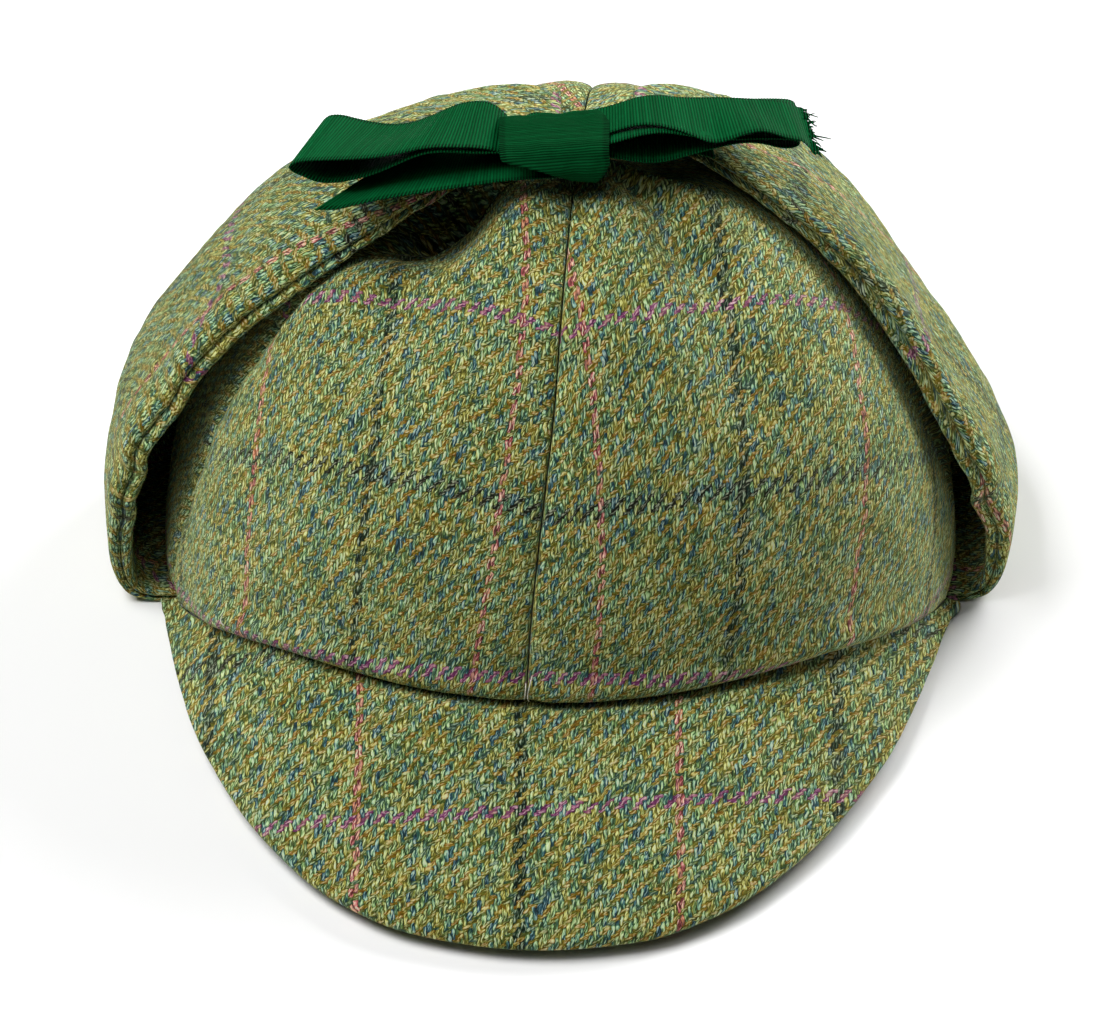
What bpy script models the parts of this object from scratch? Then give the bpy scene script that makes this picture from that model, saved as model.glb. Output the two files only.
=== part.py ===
"""Deerstalker hat: six sewn crown panels, two peaks, folded-up ear flaps, ribbon bow.

Metres, +Z up. The front peak points to -Y, the wearer's flaps lie at -X and +X.
The hat rests on the folded bottoms of its ear flaps.
"""
import math

import bpy
import numpy as np

MM = 0.001

# Crown: outer surface, a rounded dome on an oval plan
CROWN_HALF_WIDTH = 94.5 * MM
CROWN_HALF_LENGTH = 101.0 * MM
CROWN_FOOT = 3.3 * MM           # height of the side edge above the table
CROWN_RISE = 105.0 * MM         # from the side edge to the top
CROWN_POWER = 2.15              # 2 is an ellipse, more is squarer
CROWN_WALL = 2.0 * MM
CROWN_LEAN = 3.8 * MM           # the top lies this far to +X
EDGE_PINCH = 2.5 * MM           # the peak seams draw the cloth in
EDGE_PINCH_HEIGHT = 9.0 * MM
PANEL_GAP = 0.15 * MM           # half the gap along a seam
PANEL_TOP_RADIUS = 1.5 * MM
SEAM_DEPTH = 0.9 * MM
SEAM_WIDTH = 4.0 * MM
SEAMS = {                       # azimuth from the front, + towards +X, degrees
    "front": -4.4,
    "front_right": 62.0,
    "back_right": 118.0,
    "back": 176.0,
    "back_left": 236.0,
    "front_left": 287.0,
}

# Height of the crown's lower edge. azimuth, height (mm)
EDGE_ROWS = [
    (-20, 27.4),
    (0, 26.8),
    (20, 27.4),
    (35, 26.2),
    (49, 20.0),
    (57, 14.8),
    (66, 8.0),
    (73, 3.9),
    (78, 3.3),
    (90, 3.3),
    (108, 3.3),
    (113, 3.8),
    (122, 9.5),
    (132, 17.0),
    (146, 25.0),
    (160, 27.2),
    (180, 27.0),
    (200, 27.2),
]

# Dents and swellings of the crown.
# azimuth, rise 0-1, half-width in azimuth, half-width in rise, depth inwards (mm)
DENT_ROWS = [
    (-46, 0.60, 13, 0.10, 3.5),
    (-52, 0.76, 16, 0.08, 4.5),
    (33, 0.52, 8, 0.13, 2.4),
    (38, 0.72, 12, 0.10, 4.2),
    (6, 0.66, 15, 0.12, -1.5),
    (-22, 0.34, 14, 0.12, -0.8),
    (62, 0.30, 12, 0.12, -0.6),
    (-82, 0.36, 16, 0.18, 2.6),
    (80, 0.34, 16, 0.18, 1.2),
    (92, 0.50, 44, 0.24, 6.2),
    (150, 0.50, 16, 0.15, 2.0),
    (205, 0.58, 16, 0.14, 2.5),
]

# Peaks: cloth over a stiff board
PEAK_THICK = 3.0 * MM
PEAK_TURN = -3.0                # degrees, the front peak's middle
PEAK_SPAN = 72.8                # half of its spread round the crown, degrees
BACK_PEAK_SPAN = 63.0
PEAK_CROWN_GAP = 0.4 * MM
PEAK_BULGE = 3.0 * MM           # how far the top surface arches up
# degrees from the peak's middle, reach from the centre, height of the rim (mm)
PEAK_ROWS = [
    (-9.5, 150.4, 4.6),
    (0, 152.2, 4.6),
    (9.5, 150.4, 4.6),
    (16.5, 145.4, 4.6),
    (27.5, 132.6, 4.6),
    (38.5, 119.8, 4.6),
    (50, 108.8, 4.6),
    (60, 102.0, 4.4),
    (69, 98.4, 4.2),
    (78, 97.4, 4.0),
]

# Ear flaps: doubled cloth, folded up against the crown
FLAP_THICK = 3.0 * MM
# The fold that the hat stands on, as fractions of the first upright row.
# across, height
FOLD_ROWS = [
    (0.845, 0.0),
    (0.898, 0.0),
    (0.955, 0.085),
    (0.985, 0.33),
    (0.997, 0.65),
]
# How far the outer surface stands off the crown's dome (1 is the dome itself).
# degrees up the side, front edge, middle, back edge
STAND_ROWS = {
    "left": [
        (9, 1.130, 1.155, 1.12),
        (20, 1.125, 1.145, 1.085),
        (35, 1.085, 1.120, 1.07),
        (50, 1.062, 1.090, 1.060),
        (65, 1.052, 1.058, 1.048),
        (78, 1.050, 1.046, 1.046),
        (95, 1.046, 1.046, 1.046),
    ],
    "right": [
        (9, 1.130, 1.155, 1.12),
        (20, 1.110, 1.095, 1.065),
        (35, 1.040, 1.016, 1.030),
        (50, 1.026, 1.000, 1.030),
        (65, 1.036, 1.016, 1.036),
        (78, 1.046, 1.040, 1.044),
        (95, 1.046, 1.046, 1.046),
    ],
}
# Degrees up the side, front and back edge of each flap along Y (mm).
FLAP_OUTLINE = {
    "left": [
        (0, -26.5, 38.0),
        (9, -27.0, 41.0),
        (20, -28.5, 46.0),
        (35, -24.0, 50.0),
        (50, -22.0, 49.0),
        (65, -17.5, 43.0),
        (78, -10.0, 34.0),
        (84, -6.0, 30.0),
        (88, 2.0, 24.0),
    ],
    "right": [
        (0, -26.5, 38.0),
        (9, -27.0, 41.0),
        (20, -29.0, 46.0),
        (35, -20.0, 50.0),
        (50, -12.0, 50.0),
        (65, -7.5, 45.0),
        (74, -2.0, 38.0),
        (80, 3.0, 32.0),
        (83, 8.0, 26.0),
    ],
}

# Ribbon
RIBBON_THICK = 1.0 * MM
# Wrap of the bow, seen from the side. along Y, height, half-width along X (mm)
KNOT_ROWS = [
    (3.6, 115.6, 10.5),
    (3.4, 118.6, 11.5),
    (1.8, 120.5, 12.0),
    (-3.0, 121.4, 12.2),
    (-8.0, 121.7, 12.4),
    (-13.0, 121.6, 12.2),
    (-17.6, 120.6, 11.4),
    (-19.6, 117.2, 9.8),
    (-19.4, 112.6, 7.0),
    (-17.6, 109.8, 5.4),
    (-14.4, 109.6, 5.4),
    (-11.0, 111.4, 7.4),
    (-7.4, 113.3, 9.2),
    (-2.0, 113.4, 10.0),
    (2.2, 113.8, 10.2),
]
KNOT_CENTRE_X = -1.5 * MM

# Ties: where each ribbon runs over the tip of its flap. x, y, width (mm)
TIE_LEFT_ROWS = [
    (-3.0, -5.0, 7.0),
    (-9.0, -4.6, 7.6),
    (-14.5, -4.0, 8.6),
    (-20.5, 1.5, 13.5),
    (-27.0, 9.0, 18.0),
    (-34.0, 11.0, 19.0),
]
TIE_RIGHT_ROWS = [
    (0.5, -5.0, 7.0),
    (7.0, -4.4, 7.6),
    (12.2, -3.6, 8.6),
    (18.5, 4.5, 13.5),
    (25.5, 12.0, 18.0),
    (32.0, 14.0, 19.0),
]
TIE_CLEARANCE = 1.0 * MM        # from the flap to the middle of the ribbon
TIE_KNOT_HEIGHT = 115.1 * MM

# Ribbon lengths of the bow. Each row is one section across the ribbon:
# x, y, height of its middle, width, lift of the back edge over the front one,
# how far the back edge lies to +X of the front one (mm)
TAIL_LEFT_ROWS = [
    (-3.0, -7.6, 116.4, 13.0, 0.0, 0.0),
    (-13.5, -8.2, 116.3, 15.0, -0.2, 0.0),
    (-24.0, -11.6, 114.9, 19.5, -0.6, 2.0),
    (-36.0, -14.6, 113.1, 22.0, -0.6, 5.0),
    (-45.0, -17.0, 112.2, 23.0, -0.4, 9.0),
    (-49.0, -18.0, 111.8, 23.0, -0.4, 12.0),
]
LOOP_LEFT_ROWS = [
    (-3.0, -7.6, 117.7, 13.0, 0.0, 0.0),
    (-13.5, -7.9, 117.4, 15.5, -0.4, 0.0),
    (-28.0, -9.2, 116.4, 21.0, -1.4, 3.0),
    (-41.0, -10.6, 115.6, 24.0, -2.4, 6.0),
    (-51.0, -11.4, 115.6, 25.0, -3.0, 8.5),
    (-55.0, -11.7, 116.4, 25.0, -3.1, 9.0),
    (-56.4, -11.8, 117.8, 25.0, -3.2, 9.0),
    (-55.0, -11.7, 119.0, 25.0, -3.2, 9.0),
    (-51.0, -11.4, 119.4, 25.0, -3.2, 8.5),
    (-41.0, -10.4, 119.5, 24.0, -2.8, 6.0),
    (-28.0, -9.0, 119.6, 20.5, -1.8, 3.0),
    (-13.5, -7.8, 119.2, 15.5, -0.6, 0.0),
    (-3.0, -7.6, 119.0, 13.0, 0.0, 0.0),
]
LOOP_RIGHT_ROWS = [
    (0.5, -7.6, 116.4, 13.0, 0.0, 0.0),
    (10.8, -7.0, 116.2, 15.5, -0.6, 0.0),
    (24.0, -5.2, 115.2, 21.0, -2.0, 0.0),
    (37.0, -3.0, 113.8, 24.0, -3.4, 0.0),
    (47.0, -1.2, 113.2, 25.0, -4.2, 0.0),
    (51.6, -0.8, 113.8, 25.0, -4.4, 0.0),
    (53.0, -0.8, 115.2, 25.0, -4.4, 0.0),
    (51.6, -0.9, 116.4, 25.0, -4.4, 0.0),
    (46.0, -1.6, 117.0, 25.0, -4.2, 0.0),
    (36.0, -3.2, 117.4, 24.0, -3.4, 0.0),
    (24.0, -5.2, 117.8, 20.5, -2.0, 0.0),
    (10.8, -7.0, 117.8, 15.5, -0.6, 0.0),
    (0.5, -7.6, 117.7, 13.0, 0.0, 0.0),
]
TAIL_RIGHT_ROWS = [
    (0.5, -7.6, 119.0, 13.0, 0.0, 0.0),
    (10.8, -7.4, 119.4, 15.5, -0.6, 0.0),
    (24.0, -6.4, 120.0, 21.5, -2.4, -1.0),
    (38.0, -5.2, 119.8, 25.0, -3.6, -2.0),
    (50.0, -4.8, 119.0, 25.0, -4.0, -3.0),
    (56.0, -5.0, 118.4, 25.0, -4.2, -3.0),
]

# Colour, roughness, metallic
MATERIALS = {
    "tweed": ((0.150, 0.170, 0.078), 0.95, 0.0),
    "ribbon": ((0.004, 0.075, 0.024), 0.62, 0.0),
}

for leftover in list(bpy.data.objects):
    bpy.data.objects.remove(leftover, do_unlink=True)


def make_material(name):
    """A plain surface of one colour."""
    colour, roughness, metallic = MATERIALS[name]
    material = bpy.data.materials.new(name)
    material.use_nodes = True
    shader = material.node_tree.nodes["Principled BSDF"]
    shader.inputs["Base Color"].default_value = (*colour, 1.0)
    shader.inputs["Roughness"].default_value = roughness
    shader.inputs["Metallic"].default_value = metallic
    return material


TWEED = make_material("tweed")
RIBBON = make_material("ribbon")


def lookup(rows, column, where):
    """Read a column of a table with a smooth curve through its rows."""
    keys = np.array([row[0] for row in rows], dtype=float)
    values = np.array([row[column] for row in rows], dtype=float)
    where = np.clip(np.asarray(where, dtype=float), keys[0], keys[-1])
    steps = np.diff(values) / np.diff(keys)
    slopes = np.zeros_like(values)
    for i in range(1, len(keys) - 1):
        if steps[i - 1] * steps[i] > 0.0:
            slopes[i] = 2.0 * steps[i - 1] * steps[i] / (steps[i - 1] + steps[i])
    slopes[0] = steps[0]
    slopes[-1] = steps[-1]
    i = np.clip(np.searchsorted(keys, where, side="right") - 1, 0, len(keys) - 2)
    span = keys[i + 1] - keys[i]
    u = (where - keys[i]) / span
    bend = span * (slopes[i] * u * (1 - u) ** 2 - slopes[i + 1] * u * u * (1 - u))
    return values[i] + (values[i + 1] - values[i]) * u * u * (3 - 2 * u) + bend


def path(rows, column, u):
    """Read a column along the rows themselves, u from 0 to 1."""
    numbered = [(i, row[column]) for i, row in enumerate(rows)]
    return lookup(numbered, 1, np.asarray(u) * (len(rows) - 1))


def wrap_degrees(angle):
    """The same direction between -180 and 180."""
    return (np.asarray(angle) + 180.0) % 360.0 - 180.0


def plan_radius(azimuth):
    """Radius of the crown's oval plan in a direction given in degrees."""
    turn = np.radians(azimuth)
    across = np.abs(np.sin(turn) / CROWN_HALF_WIDTH) ** CROWN_POWER
    along = np.abs(np.cos(turn) / CROWN_HALF_LENGTH) ** CROWN_POWER
    return (across + along) ** (-1.0 / CROWN_POWER)


def edge_height(azimuth):
    """Height of the crown's lower edge above the table."""
    return lookup(EDGE_ROWS, 1, np.abs(wrap_degrees(azimuth))) * MM


def seam_distance(azimuth, radius):
    """Distance round the crown to the nearest seam."""
    turns = [np.abs(wrap_degrees(azimuth - seam)) for seam in SEAMS.values()]
    return np.radians(np.min(turns, axis=0)) * radius


def dome_point(azimuth, rise, inset=0.0):
    """A point of the crown: azimuth in degrees, rise 0 at its edge and 1 at its top."""
    azimuth, rise = np.broadcast_arrays(np.asarray(azimuth, float), np.asarray(rise, float))
    foot = edge_height(azimuth)
    low = np.clip((foot - CROWN_FOOT) / CROWN_RISE, 0.0, 1.0)
    start = np.arcsin(low ** (CROWN_POWER / 2.0))
    lift = start + (math.pi / 2.0 - start) * rise
    reach = np.clip(np.cos(lift), 0.0, 1.0) ** (2.0 / CROWN_POWER)
    height = CROWN_FOOT + CROWN_RISE * np.sin(lift) ** (2.0 / CROWN_POWER)
    radius = plan_radius(azimuth) * reach
    dent = np.full(azimuth.shape, inset)
    for turn, middle, wide, tall, depth in DENT_ROWS:
        off = wrap_degrees(azimuth - turn) / wide
        dent = dent + depth * MM * np.exp(-off ** 2 - ((rise - middle) / tall) ** 2)
    near = seam_distance(azimuth, radius) / SEAM_WIDTH
    dent = dent + SEAM_DEPTH * np.exp(-near ** 2) * np.clip(radius / (12 * MM), 0.0, 1.0)
    front = np.cos(np.radians(azimuth)) ** 2
    pinch = EDGE_PINCH * front * np.exp(-((height - foot) / EDGE_PINCH_HEIGHT) ** 2)
    radius = np.maximum(radius - (dent + pinch) * np.cos(lift), 0.2 * radius)
    height = height - dent * np.sin(lift)
    turn = np.radians(azimuth)
    fade = np.clip(rise / 0.55, 0.0, 1.0)
    lean = CROWN_LEAN * fade * fade * (3.0 - 2.0 * fade)
    return np.stack([radius * np.sin(turn) + lean, -radius * np.cos(turn), height], axis=-1)


def surface_normals(grid):
    """Unit normals of a grid of points."""
    first = np.gradient(grid, axis=0)
    second = np.gradient(grid, axis=1)
    normal = np.cross(first, second)
    return normal / np.linalg.norm(normal, axis=-1, keepdims=True)


def new_solid(name, points, faces, material):
    """One closed body from points and triangles, facing outwards."""
    points = np.asarray(points, dtype=float)
    corners = points[np.asarray(faces)]
    volume = np.einsum("ij,ij->i", corners[:, 0], np.cross(corners[:, 1], corners[:, 2])).sum()
    if volume < 0.0:
        faces = [face[::-1] for face in faces]
    mesh = bpy.data.meshes.new(name)
    mesh.from_pydata([tuple(p) for p in points], [], [tuple(face) for face in faces])
    mesh.materials.append(material)
    mesh.shade_smooth()
    mesh.set_sharp_from_angle(angle=math.radians(40.0))
    solid = bpy.data.objects.new(name, mesh)
    bpy.context.scene.collection.objects.link(solid)
    return solid


def sheet_solid(name, outer, inner, material, ring=False):
    """A wall between two grids of points. A ring closes on itself along its rows."""
    rows, columns = outer.shape[:2]
    points = np.concatenate([outer.reshape(-1, 3), inner.reshape(-1, 3)])
    shift = rows * columns
    faces = []

    def quad(a, b, c, d):
        faces.append((a, b, c))
        faces.append((a, c, d))

    row_cells = rows if ring else rows - 1
    for i in range(row_cells):
        k = (i + 1) % rows
        for j in range(columns - 1):
            a, b = i * columns + j, k * columns + j
            quad(a, b, b + 1, a + 1)
            quad(a + shift, a + 1 + shift, b + 1 + shift, b + shift)
        left, right = i * columns, k * columns
        quad(left, left + shift, right + shift, right)
        left, right = left + columns - 1, right + columns - 1
        quad(right, right + shift, left + shift, left)
    if not ring:
        for j in range(columns - 1):
            quad(j, j + 1, j + 1 + shift, j + shift)
            last = (rows - 1) * columns + j
            quad(last, last + shift, last + 1 + shift, last + 1)
    return new_solid(name, points, faces, material)


def crown_panel(name, first_seam, second_seam):
    """One sewn panel of the crown, between two seams."""
    start = SEAMS[first_seam]
    stop = SEAMS[second_seam]
    if stop < start:
        stop += 360.0
    across, up = 12, 15
    share = np.linspace(0.0, 1.0, across + 1)[:, None]
    top = 1.0 - 2.0 * PANEL_TOP_RADIUS / (math.pi * CROWN_HALF_WIDTH)
    rise = (np.linspace(0.0, 1.0, up + 1) ** 1.1 * top)[None, :]
    near = plan_radius(start) * np.cos(rise * math.pi / 2.0) + 0.5 * MM
    trim = np.degrees(PANEL_GAP / near)
    azimuth = start + trim + (stop - start - 2.0 * trim) * share
    outer = dome_point(azimuth, rise)
    fine = dome_point(azimuth, rise + 1e-4) - outer
    side = dome_point(azimuth + 0.01, rise) - outer
    normal = np.cross(side, fine)
    normal /= np.linalg.norm(normal, axis=-1, keepdims=True)
    normal *= np.sign(np.sum(normal * (outer - [0.0, 0.0, 20 * MM]), axis=-1, keepdims=True))
    # the cut sides of neighbours stay apart: no thickness along the seam
    turn = np.radians(azimuth)
    along = np.stack([np.cos(turn), np.sin(turn), np.zeros_like(turn)], axis=-1)
    normal -= along * np.sum(normal * along, axis=-1, keepdims=True)
    inner = outer - CROWN_WALL * normal
    inner[:, 0, 2] = outer[:, 0, 2]
    return sheet_solid(name, outer, inner, TWEED)


def peak(name, middle, span):
    """A stiffened peak that slopes down from the crown's lifted edge."""
    around, out = 34, 6
    azimuth = (middle + np.linspace(-span, span, around + 1))[:, None]
    turn = azimuth[:, 0] - middle - PEAK_TURN
    share = np.linspace(0.0, 1.0, out + 1)[None, :]
    seam = dome_point(azimuth, np.zeros_like(azimuth))[:, :, :]
    seam_radius = np.hypot(seam[..., 0], seam[..., 1]) + PEAK_CROWN_GAP + 0.4 * MM
    seam_height = edge_height(azimuth) + 1.0 * MM
    rim_radius = lookup(PEAK_ROWS, 1, np.abs(turn))[:, None] * MM
    rim_height = lookup(PEAK_ROWS, 2, np.abs(turn))[:, None] * MM
    radius = seam_radius + (rim_radius - seam_radius) * share
    arch = PEAK_BULGE * np.clip((rim_radius - seam_radius) / (50 * MM), 0.0, 1.0)
    height = seam_height + (rim_height - seam_height) * share
    height = height + arch * np.sin(math.pi * share ** 0.9)
    direction = np.radians(azimuth)
    outer = np.stack([radius * np.sin(direction), -radius * np.cos(direction), height], axis=-1)
    normal = surface_normals(outer)
    normal *= np.sign(normal[..., 2:3])
    inner = outer - PEAK_THICK * normal
    # the seam edge stands upright against the crown
    inner[:, 0, :2] = outer[:, 0, :2]
    inner[:, 0, 2] = outer[:, 0, 2] - PEAK_THICK
    inner[..., 2] = np.maximum(inner[..., 2], 0.4 * MM)
    return sheet_solid(name, outer, inner, TWEED)


def flap_section(side, lift, share, along):
    """A point of a flap's outer surface, on the +X side."""
    front = lookup(STAND_ROWS[side], 1, lift)
    middle = lookup(STAND_ROWS[side], 2, lift)
    back = lookup(STAND_ROWS[side], 3, lift)
    bow = (1.0 - share ** 2)
    stand = middle * bow + (1.0 - bow) * (front * (1.0 - share) + back * (1.0 + share)) / 2.0
    turn = np.radians(lift)
    across = np.abs(np.cos(turn) / CROWN_HALF_WIDTH) ** CROWN_POWER
    upward = np.abs(np.sin(turn) / CROWN_RISE) ** CROWN_POWER
    radius = stand * (across + upward) ** (-1.0 / CROWN_POWER)
    shrink = (1.0 - np.abs(along / CROWN_HALF_LENGTH) ** CROWN_POWER) ** (1.0 / CROWN_POWER)
    x = shrink * radius * np.cos(turn)
    z = CROWN_FOOT + shrink * radius * np.sin(turn)
    return x, z


def lean_at(height):
    """How far the flaps follow the crown's lean to +X."""
    return CROWN_LEAN * np.clip((height - 45 * MM) / (50 * MM), 0.0, 1.0)


def ear_flap(name, side):
    """A flap: under the crown's edge, round the fold and up over the side."""
    sign = 1.0 if side == "right" else -1.0
    outline = FLAP_OUTLINE[side]
    lifts = np.concatenate([np.linspace(9.0, 68.0, 13), np.linspace(72.0, outline[-1][0], 6)])
    share = np.linspace(-1.0, 1.0, 13)[None, :]

    def along_y(lift):
        front = lookup(outline, 1, lift)
        back = lookup(outline, 2, lift)
        return (front * (1.0 - share) + back * (1.0 + share)) / 2.0 * MM

    lift = lifts[:, None]
    along = along_y(lift)
    x, z = flap_section(side, lift, share, along)
    upper = np.stack([x, along, z], axis=-1)
    first = along_y(np.full((1, 1), 9.0))
    base_x, base_z = flap_section(side, 9.0, share, first)
    fold = []
    for i, (across, height) in enumerate(FOLD_ROWS):
        y = along_y(np.full((1, 1), 9.0 * i / len(FOLD_ROWS)))
        fold.append(np.stack([base_x * across, y, base_z * height], axis=-1)[0])
    outer = np.concatenate([np.array(fold), upper])
    outer[..., 0] = outer[..., 0] + sign * lean_at(outer[..., 2])
    normal = surface_normals(outer)
    outwards = outer - np.array([60 * MM, 0.0, 35 * MM])
    normal *= np.sign(np.sum(normal * outwards, axis=-1, keepdims=True))
    inner = outer - FLAP_THICK * normal
    inner[:2] = outer[:2] + np.array([0.0, 0.0, FLAP_THICK])
    outer[..., 0] *= sign
    inner[..., 0] *= sign
    return sheet_solid(name, outer, inner, TWEED)


def flap_height(side, x, y):
    """Height of a flap's outer surface over a point near the hat's top."""
    sign = 1.0 if side == "right" else -1.0
    lift = np.linspace(50.0, 95.0, 91)
    front = lookup(FLAP_OUTLINE[side], 1, lift) * MM
    back = lookup(FLAP_OUTLINE[side], 2, lift) * MM
    heights = []
    for one_x, one_y in zip(np.ravel(x), np.ravel(y)):
        share = np.clip((2.0 * one_y - front - back) / (back - front), -1.0, 1.0)
        across, height = flap_section(side, lift, share, one_y + 0.0 * lift)
        across = across + sign * lean_at(height)
        heights.append(np.interp(-sign * one_x, -across, height))
    return np.array(heights).reshape(np.shape(x))


def ribbon_frame(rows, steps, across):
    """Middle surface of a length of ribbon, and its unit normals."""
    u = np.linspace(0.0, 1.0, steps + 1)
    middle = np.stack([path(rows, k, u) for k in range(3)], axis=-1) * MM
    width = path(rows, 3, u) * MM
    lift = path(rows, 4, u) * MM
    skew = path(rows, 5, u) * MM
    tangent = np.gradient(middle, axis=0)
    tangent /= np.linalg.norm(tangent, axis=-1, keepdims=True)
    depth = np.sqrt(width ** 2 - lift ** 2)
    sideways = np.stack([skew, depth, lift], axis=-1)
    share = np.linspace(-0.5, 0.5, across + 1)
    grid = middle[:, None, :] + sideways[:, None, :] * share[None, :, None]
    normal = np.cross(tangent, sideways)
    normal /= np.linalg.norm(normal, axis=-1, keepdims=True)
    return grid, np.repeat(normal[:, None, :], across + 1, axis=1)


def ribbon(name, rows, steps):
    """A length of ribbon along its rows."""
    grid, normal = ribbon_frame(rows, steps, 3)
    half = 0.5 * RIBBON_THICK * normal
    return sheet_solid(name, grid + half, grid - half, RIBBON)


def tie(name, side, rows):
    """The ribbon from a flap's tip into the bow, lying on the flap."""
    u = np.linspace(0.0, 1.0, 13)
    x = path(rows, 0, u) * MM
    y = path(rows, 1, u) * MM
    width = path(rows, 2, u) * MM
    tangent = np.gradient(np.stack([x, y], axis=-1), axis=0)
    tangent /= np.linalg.norm(tangent, axis=-1, keepdims=True)
    aside = np.stack([-tangent[:, 1], tangent[:, 0]], axis=-1)
    share = np.linspace(-0.5, 0.5, 5)
    grid_x = x[:, None] + aside[:, :1] * width[:, None] * share
    grid_y = y[:, None] + aside[:, 1:] * width[:, None] * share
    lying = flap_height(side, grid_x, grid_y) + TIE_CLEARANCE
    hold = np.clip((np.abs(x - KNOT_CENTRE_X) / MM - 10.0) / 8.0, 0.0, 1.0)[:, None]
    hold = hold * hold * (3.0 - 2.0 * hold)
    height = TIE_KNOT_HEIGHT + (lying - TIE_KNOT_HEIGHT) * hold
    grid = np.stack([grid_x, grid_y, height], axis=-1)
    half = 0.5 * RIBBON_THICK * surface_normals(grid)
    return sheet_solid(name, grid + half, grid - half, RIBBON)


def bow_knot():
    """The ribbon wrapped round the middle of the bow."""
    closed = KNOT_ROWS + [KNOT_ROWS[0]]
    u = np.linspace(0.0, 1.0, 24, endpoint=False)
    y = path(closed, 0, u) * MM
    z = path(closed, 1, u) * MM
    half_width = path(closed, 2, u) * MM
    share = np.linspace(-1.0, 1.0, 5)[None, :]
    x = KNOT_CENTRE_X + half_width[:, None] * share
    outer = np.stack([x, y[:, None] + 0 * x, z[:, None] + 0 * x], axis=-1)
    dy = np.roll(y, -1) - np.roll(y, 1)
    dz = np.roll(z, -1) - np.roll(z, 1)
    length = np.hypot(dy, dz)
    normal = np.stack([0 * y, -dz / length, dy / length], axis=-1)
    centre = np.array([0.0, y.mean(), z.mean()])
    point = np.stack([0 * y, y, z], axis=-1)
    normal *= np.sign(np.sum(normal * (point - centre), axis=-1, keepdims=True))
    inner = outer - RIBBON_THICK * normal[:, None, :]
    return sheet_solid("bow_knot", outer, inner, RIBBON, ring=True)


crown_panel("crown_panel_front_right", "front", "front_right")
crown_panel("crown_panel_side_right", "front_right", "back_right")
crown_panel("crown_panel_back_right", "back_right", "back")
crown_panel("crown_panel_back_left", "back", "back_left")
crown_panel("crown_panel_side_left", "back_left", "front_left")
crown_panel("crown_panel_front_left", "front_left", "front")
peak("front_peak", 0.0, PEAK_SPAN)
peak("back_peak", 180.0, BACK_PEAK_SPAN)
ear_flap("ear_flap_left", "left")
ear_flap("ear_flap_right", "right")
tie("tie_left", "left", TIE_LEFT_ROWS)
tie("tie_right", "right", TIE_RIGHT_ROWS)
ribbon("bow_tail_left", TAIL_LEFT_ROWS, 12)
ribbon("bow_loop_left", LOOP_LEFT_ROWS, 30)
ribbon("bow_loop_right", LOOP_RIGHT_ROWS, 30)
ribbon("bow_tail_right", TAIL_RIGHT_ROWS, 14)
bow_knot()
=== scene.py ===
"""Looks of the deerstalker hat: tweed crown panels, peaks, tied-up ear flaps and a ribbon bow."""
import math

import bpy
import numpy as np
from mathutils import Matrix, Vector


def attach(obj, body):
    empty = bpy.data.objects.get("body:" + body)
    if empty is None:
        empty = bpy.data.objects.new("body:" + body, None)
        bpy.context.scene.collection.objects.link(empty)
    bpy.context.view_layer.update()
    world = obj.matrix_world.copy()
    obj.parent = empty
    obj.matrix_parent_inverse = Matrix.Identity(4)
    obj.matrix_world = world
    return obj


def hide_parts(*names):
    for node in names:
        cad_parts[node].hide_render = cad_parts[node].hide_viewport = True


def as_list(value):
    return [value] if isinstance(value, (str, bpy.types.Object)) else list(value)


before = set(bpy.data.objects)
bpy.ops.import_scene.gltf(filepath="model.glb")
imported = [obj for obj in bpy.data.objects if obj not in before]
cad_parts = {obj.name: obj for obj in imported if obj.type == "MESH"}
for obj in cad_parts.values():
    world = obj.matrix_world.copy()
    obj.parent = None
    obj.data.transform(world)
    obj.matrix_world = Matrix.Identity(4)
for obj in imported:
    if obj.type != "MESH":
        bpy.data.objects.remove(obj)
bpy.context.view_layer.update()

MM = 0.001
BODY = "root"
scene = bpy.context.scene

# ---------------------------------------------------------------- sizes, as in the frame

CROWN_HALF_WIDTH = 94.5 * MM
CROWN_HALF_LENGTH = 101.0 * MM
CROWN_FOOT = 3.3 * MM
CROWN_RISE = 105.0 * MM
CROWN_POWER = 2.15
CROWN_WALL = 2.0 * MM
CROWN_LEAN = 3.8 * MM
EDGE_PINCH = 2.5 * MM
EDGE_PINCH_HEIGHT = 9.0 * MM
PANEL_GAP = 0.12 * MM
SEAM_DEPTH = 0.9 * MM
SEAM_WIDTH = 4.0 * MM
SEAMS = {                       # azimuth from the front, + towards +X, degrees
    "front": -4.4,
    "front_right": 62.0,
    "back_right": 118.0,
    "back": 176.0,
    "back_left": 236.0,
    "front_left": 287.0,
}

# Height of the crown's lower edge. azimuth, height (mm)
EDGE_ROWS = [
    (-20, 27.4), (0, 26.8), (20, 27.4), (35, 26.2), (49, 20), (57, 14.8), (66, 8), (73, 3.9),
    (78, 3.3), (90, 3.3), (108, 3.3), (113, 3.8), (122, 9.5), (132, 17), (146, 25), (160, 27.2),
    (180, 27), (200, 27.2),
]

# Dents and swellings of the crown.
# azimuth, rise 0-1, half-width in azimuth, half-width in rise, depth inwards (mm)
DENT_ROWS = [
    (-46, 0.6, 13, 0.1, 3.5), (-52, 0.76, 16, 0.08, 4.5), (33, 0.52, 8, 0.13, 2.4),
    (38, 0.72, 12, 0.1, 4.2), (6, 0.66, 15, 0.12, -1.5), (-22, 0.34, 14, 0.12, -0.8),
    (62, 0.3, 12, 0.12, -0.6), (-82, 0.36, 16, 0.18, 2.6), (80, 0.34, 16, 0.18, 1.2),
    (92, 0.5, 44, 0.24, 6.2), (150, 0.5, 16, 0.15, 2), (205, 0.58, 16, 0.14, 2.5),
]

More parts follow.
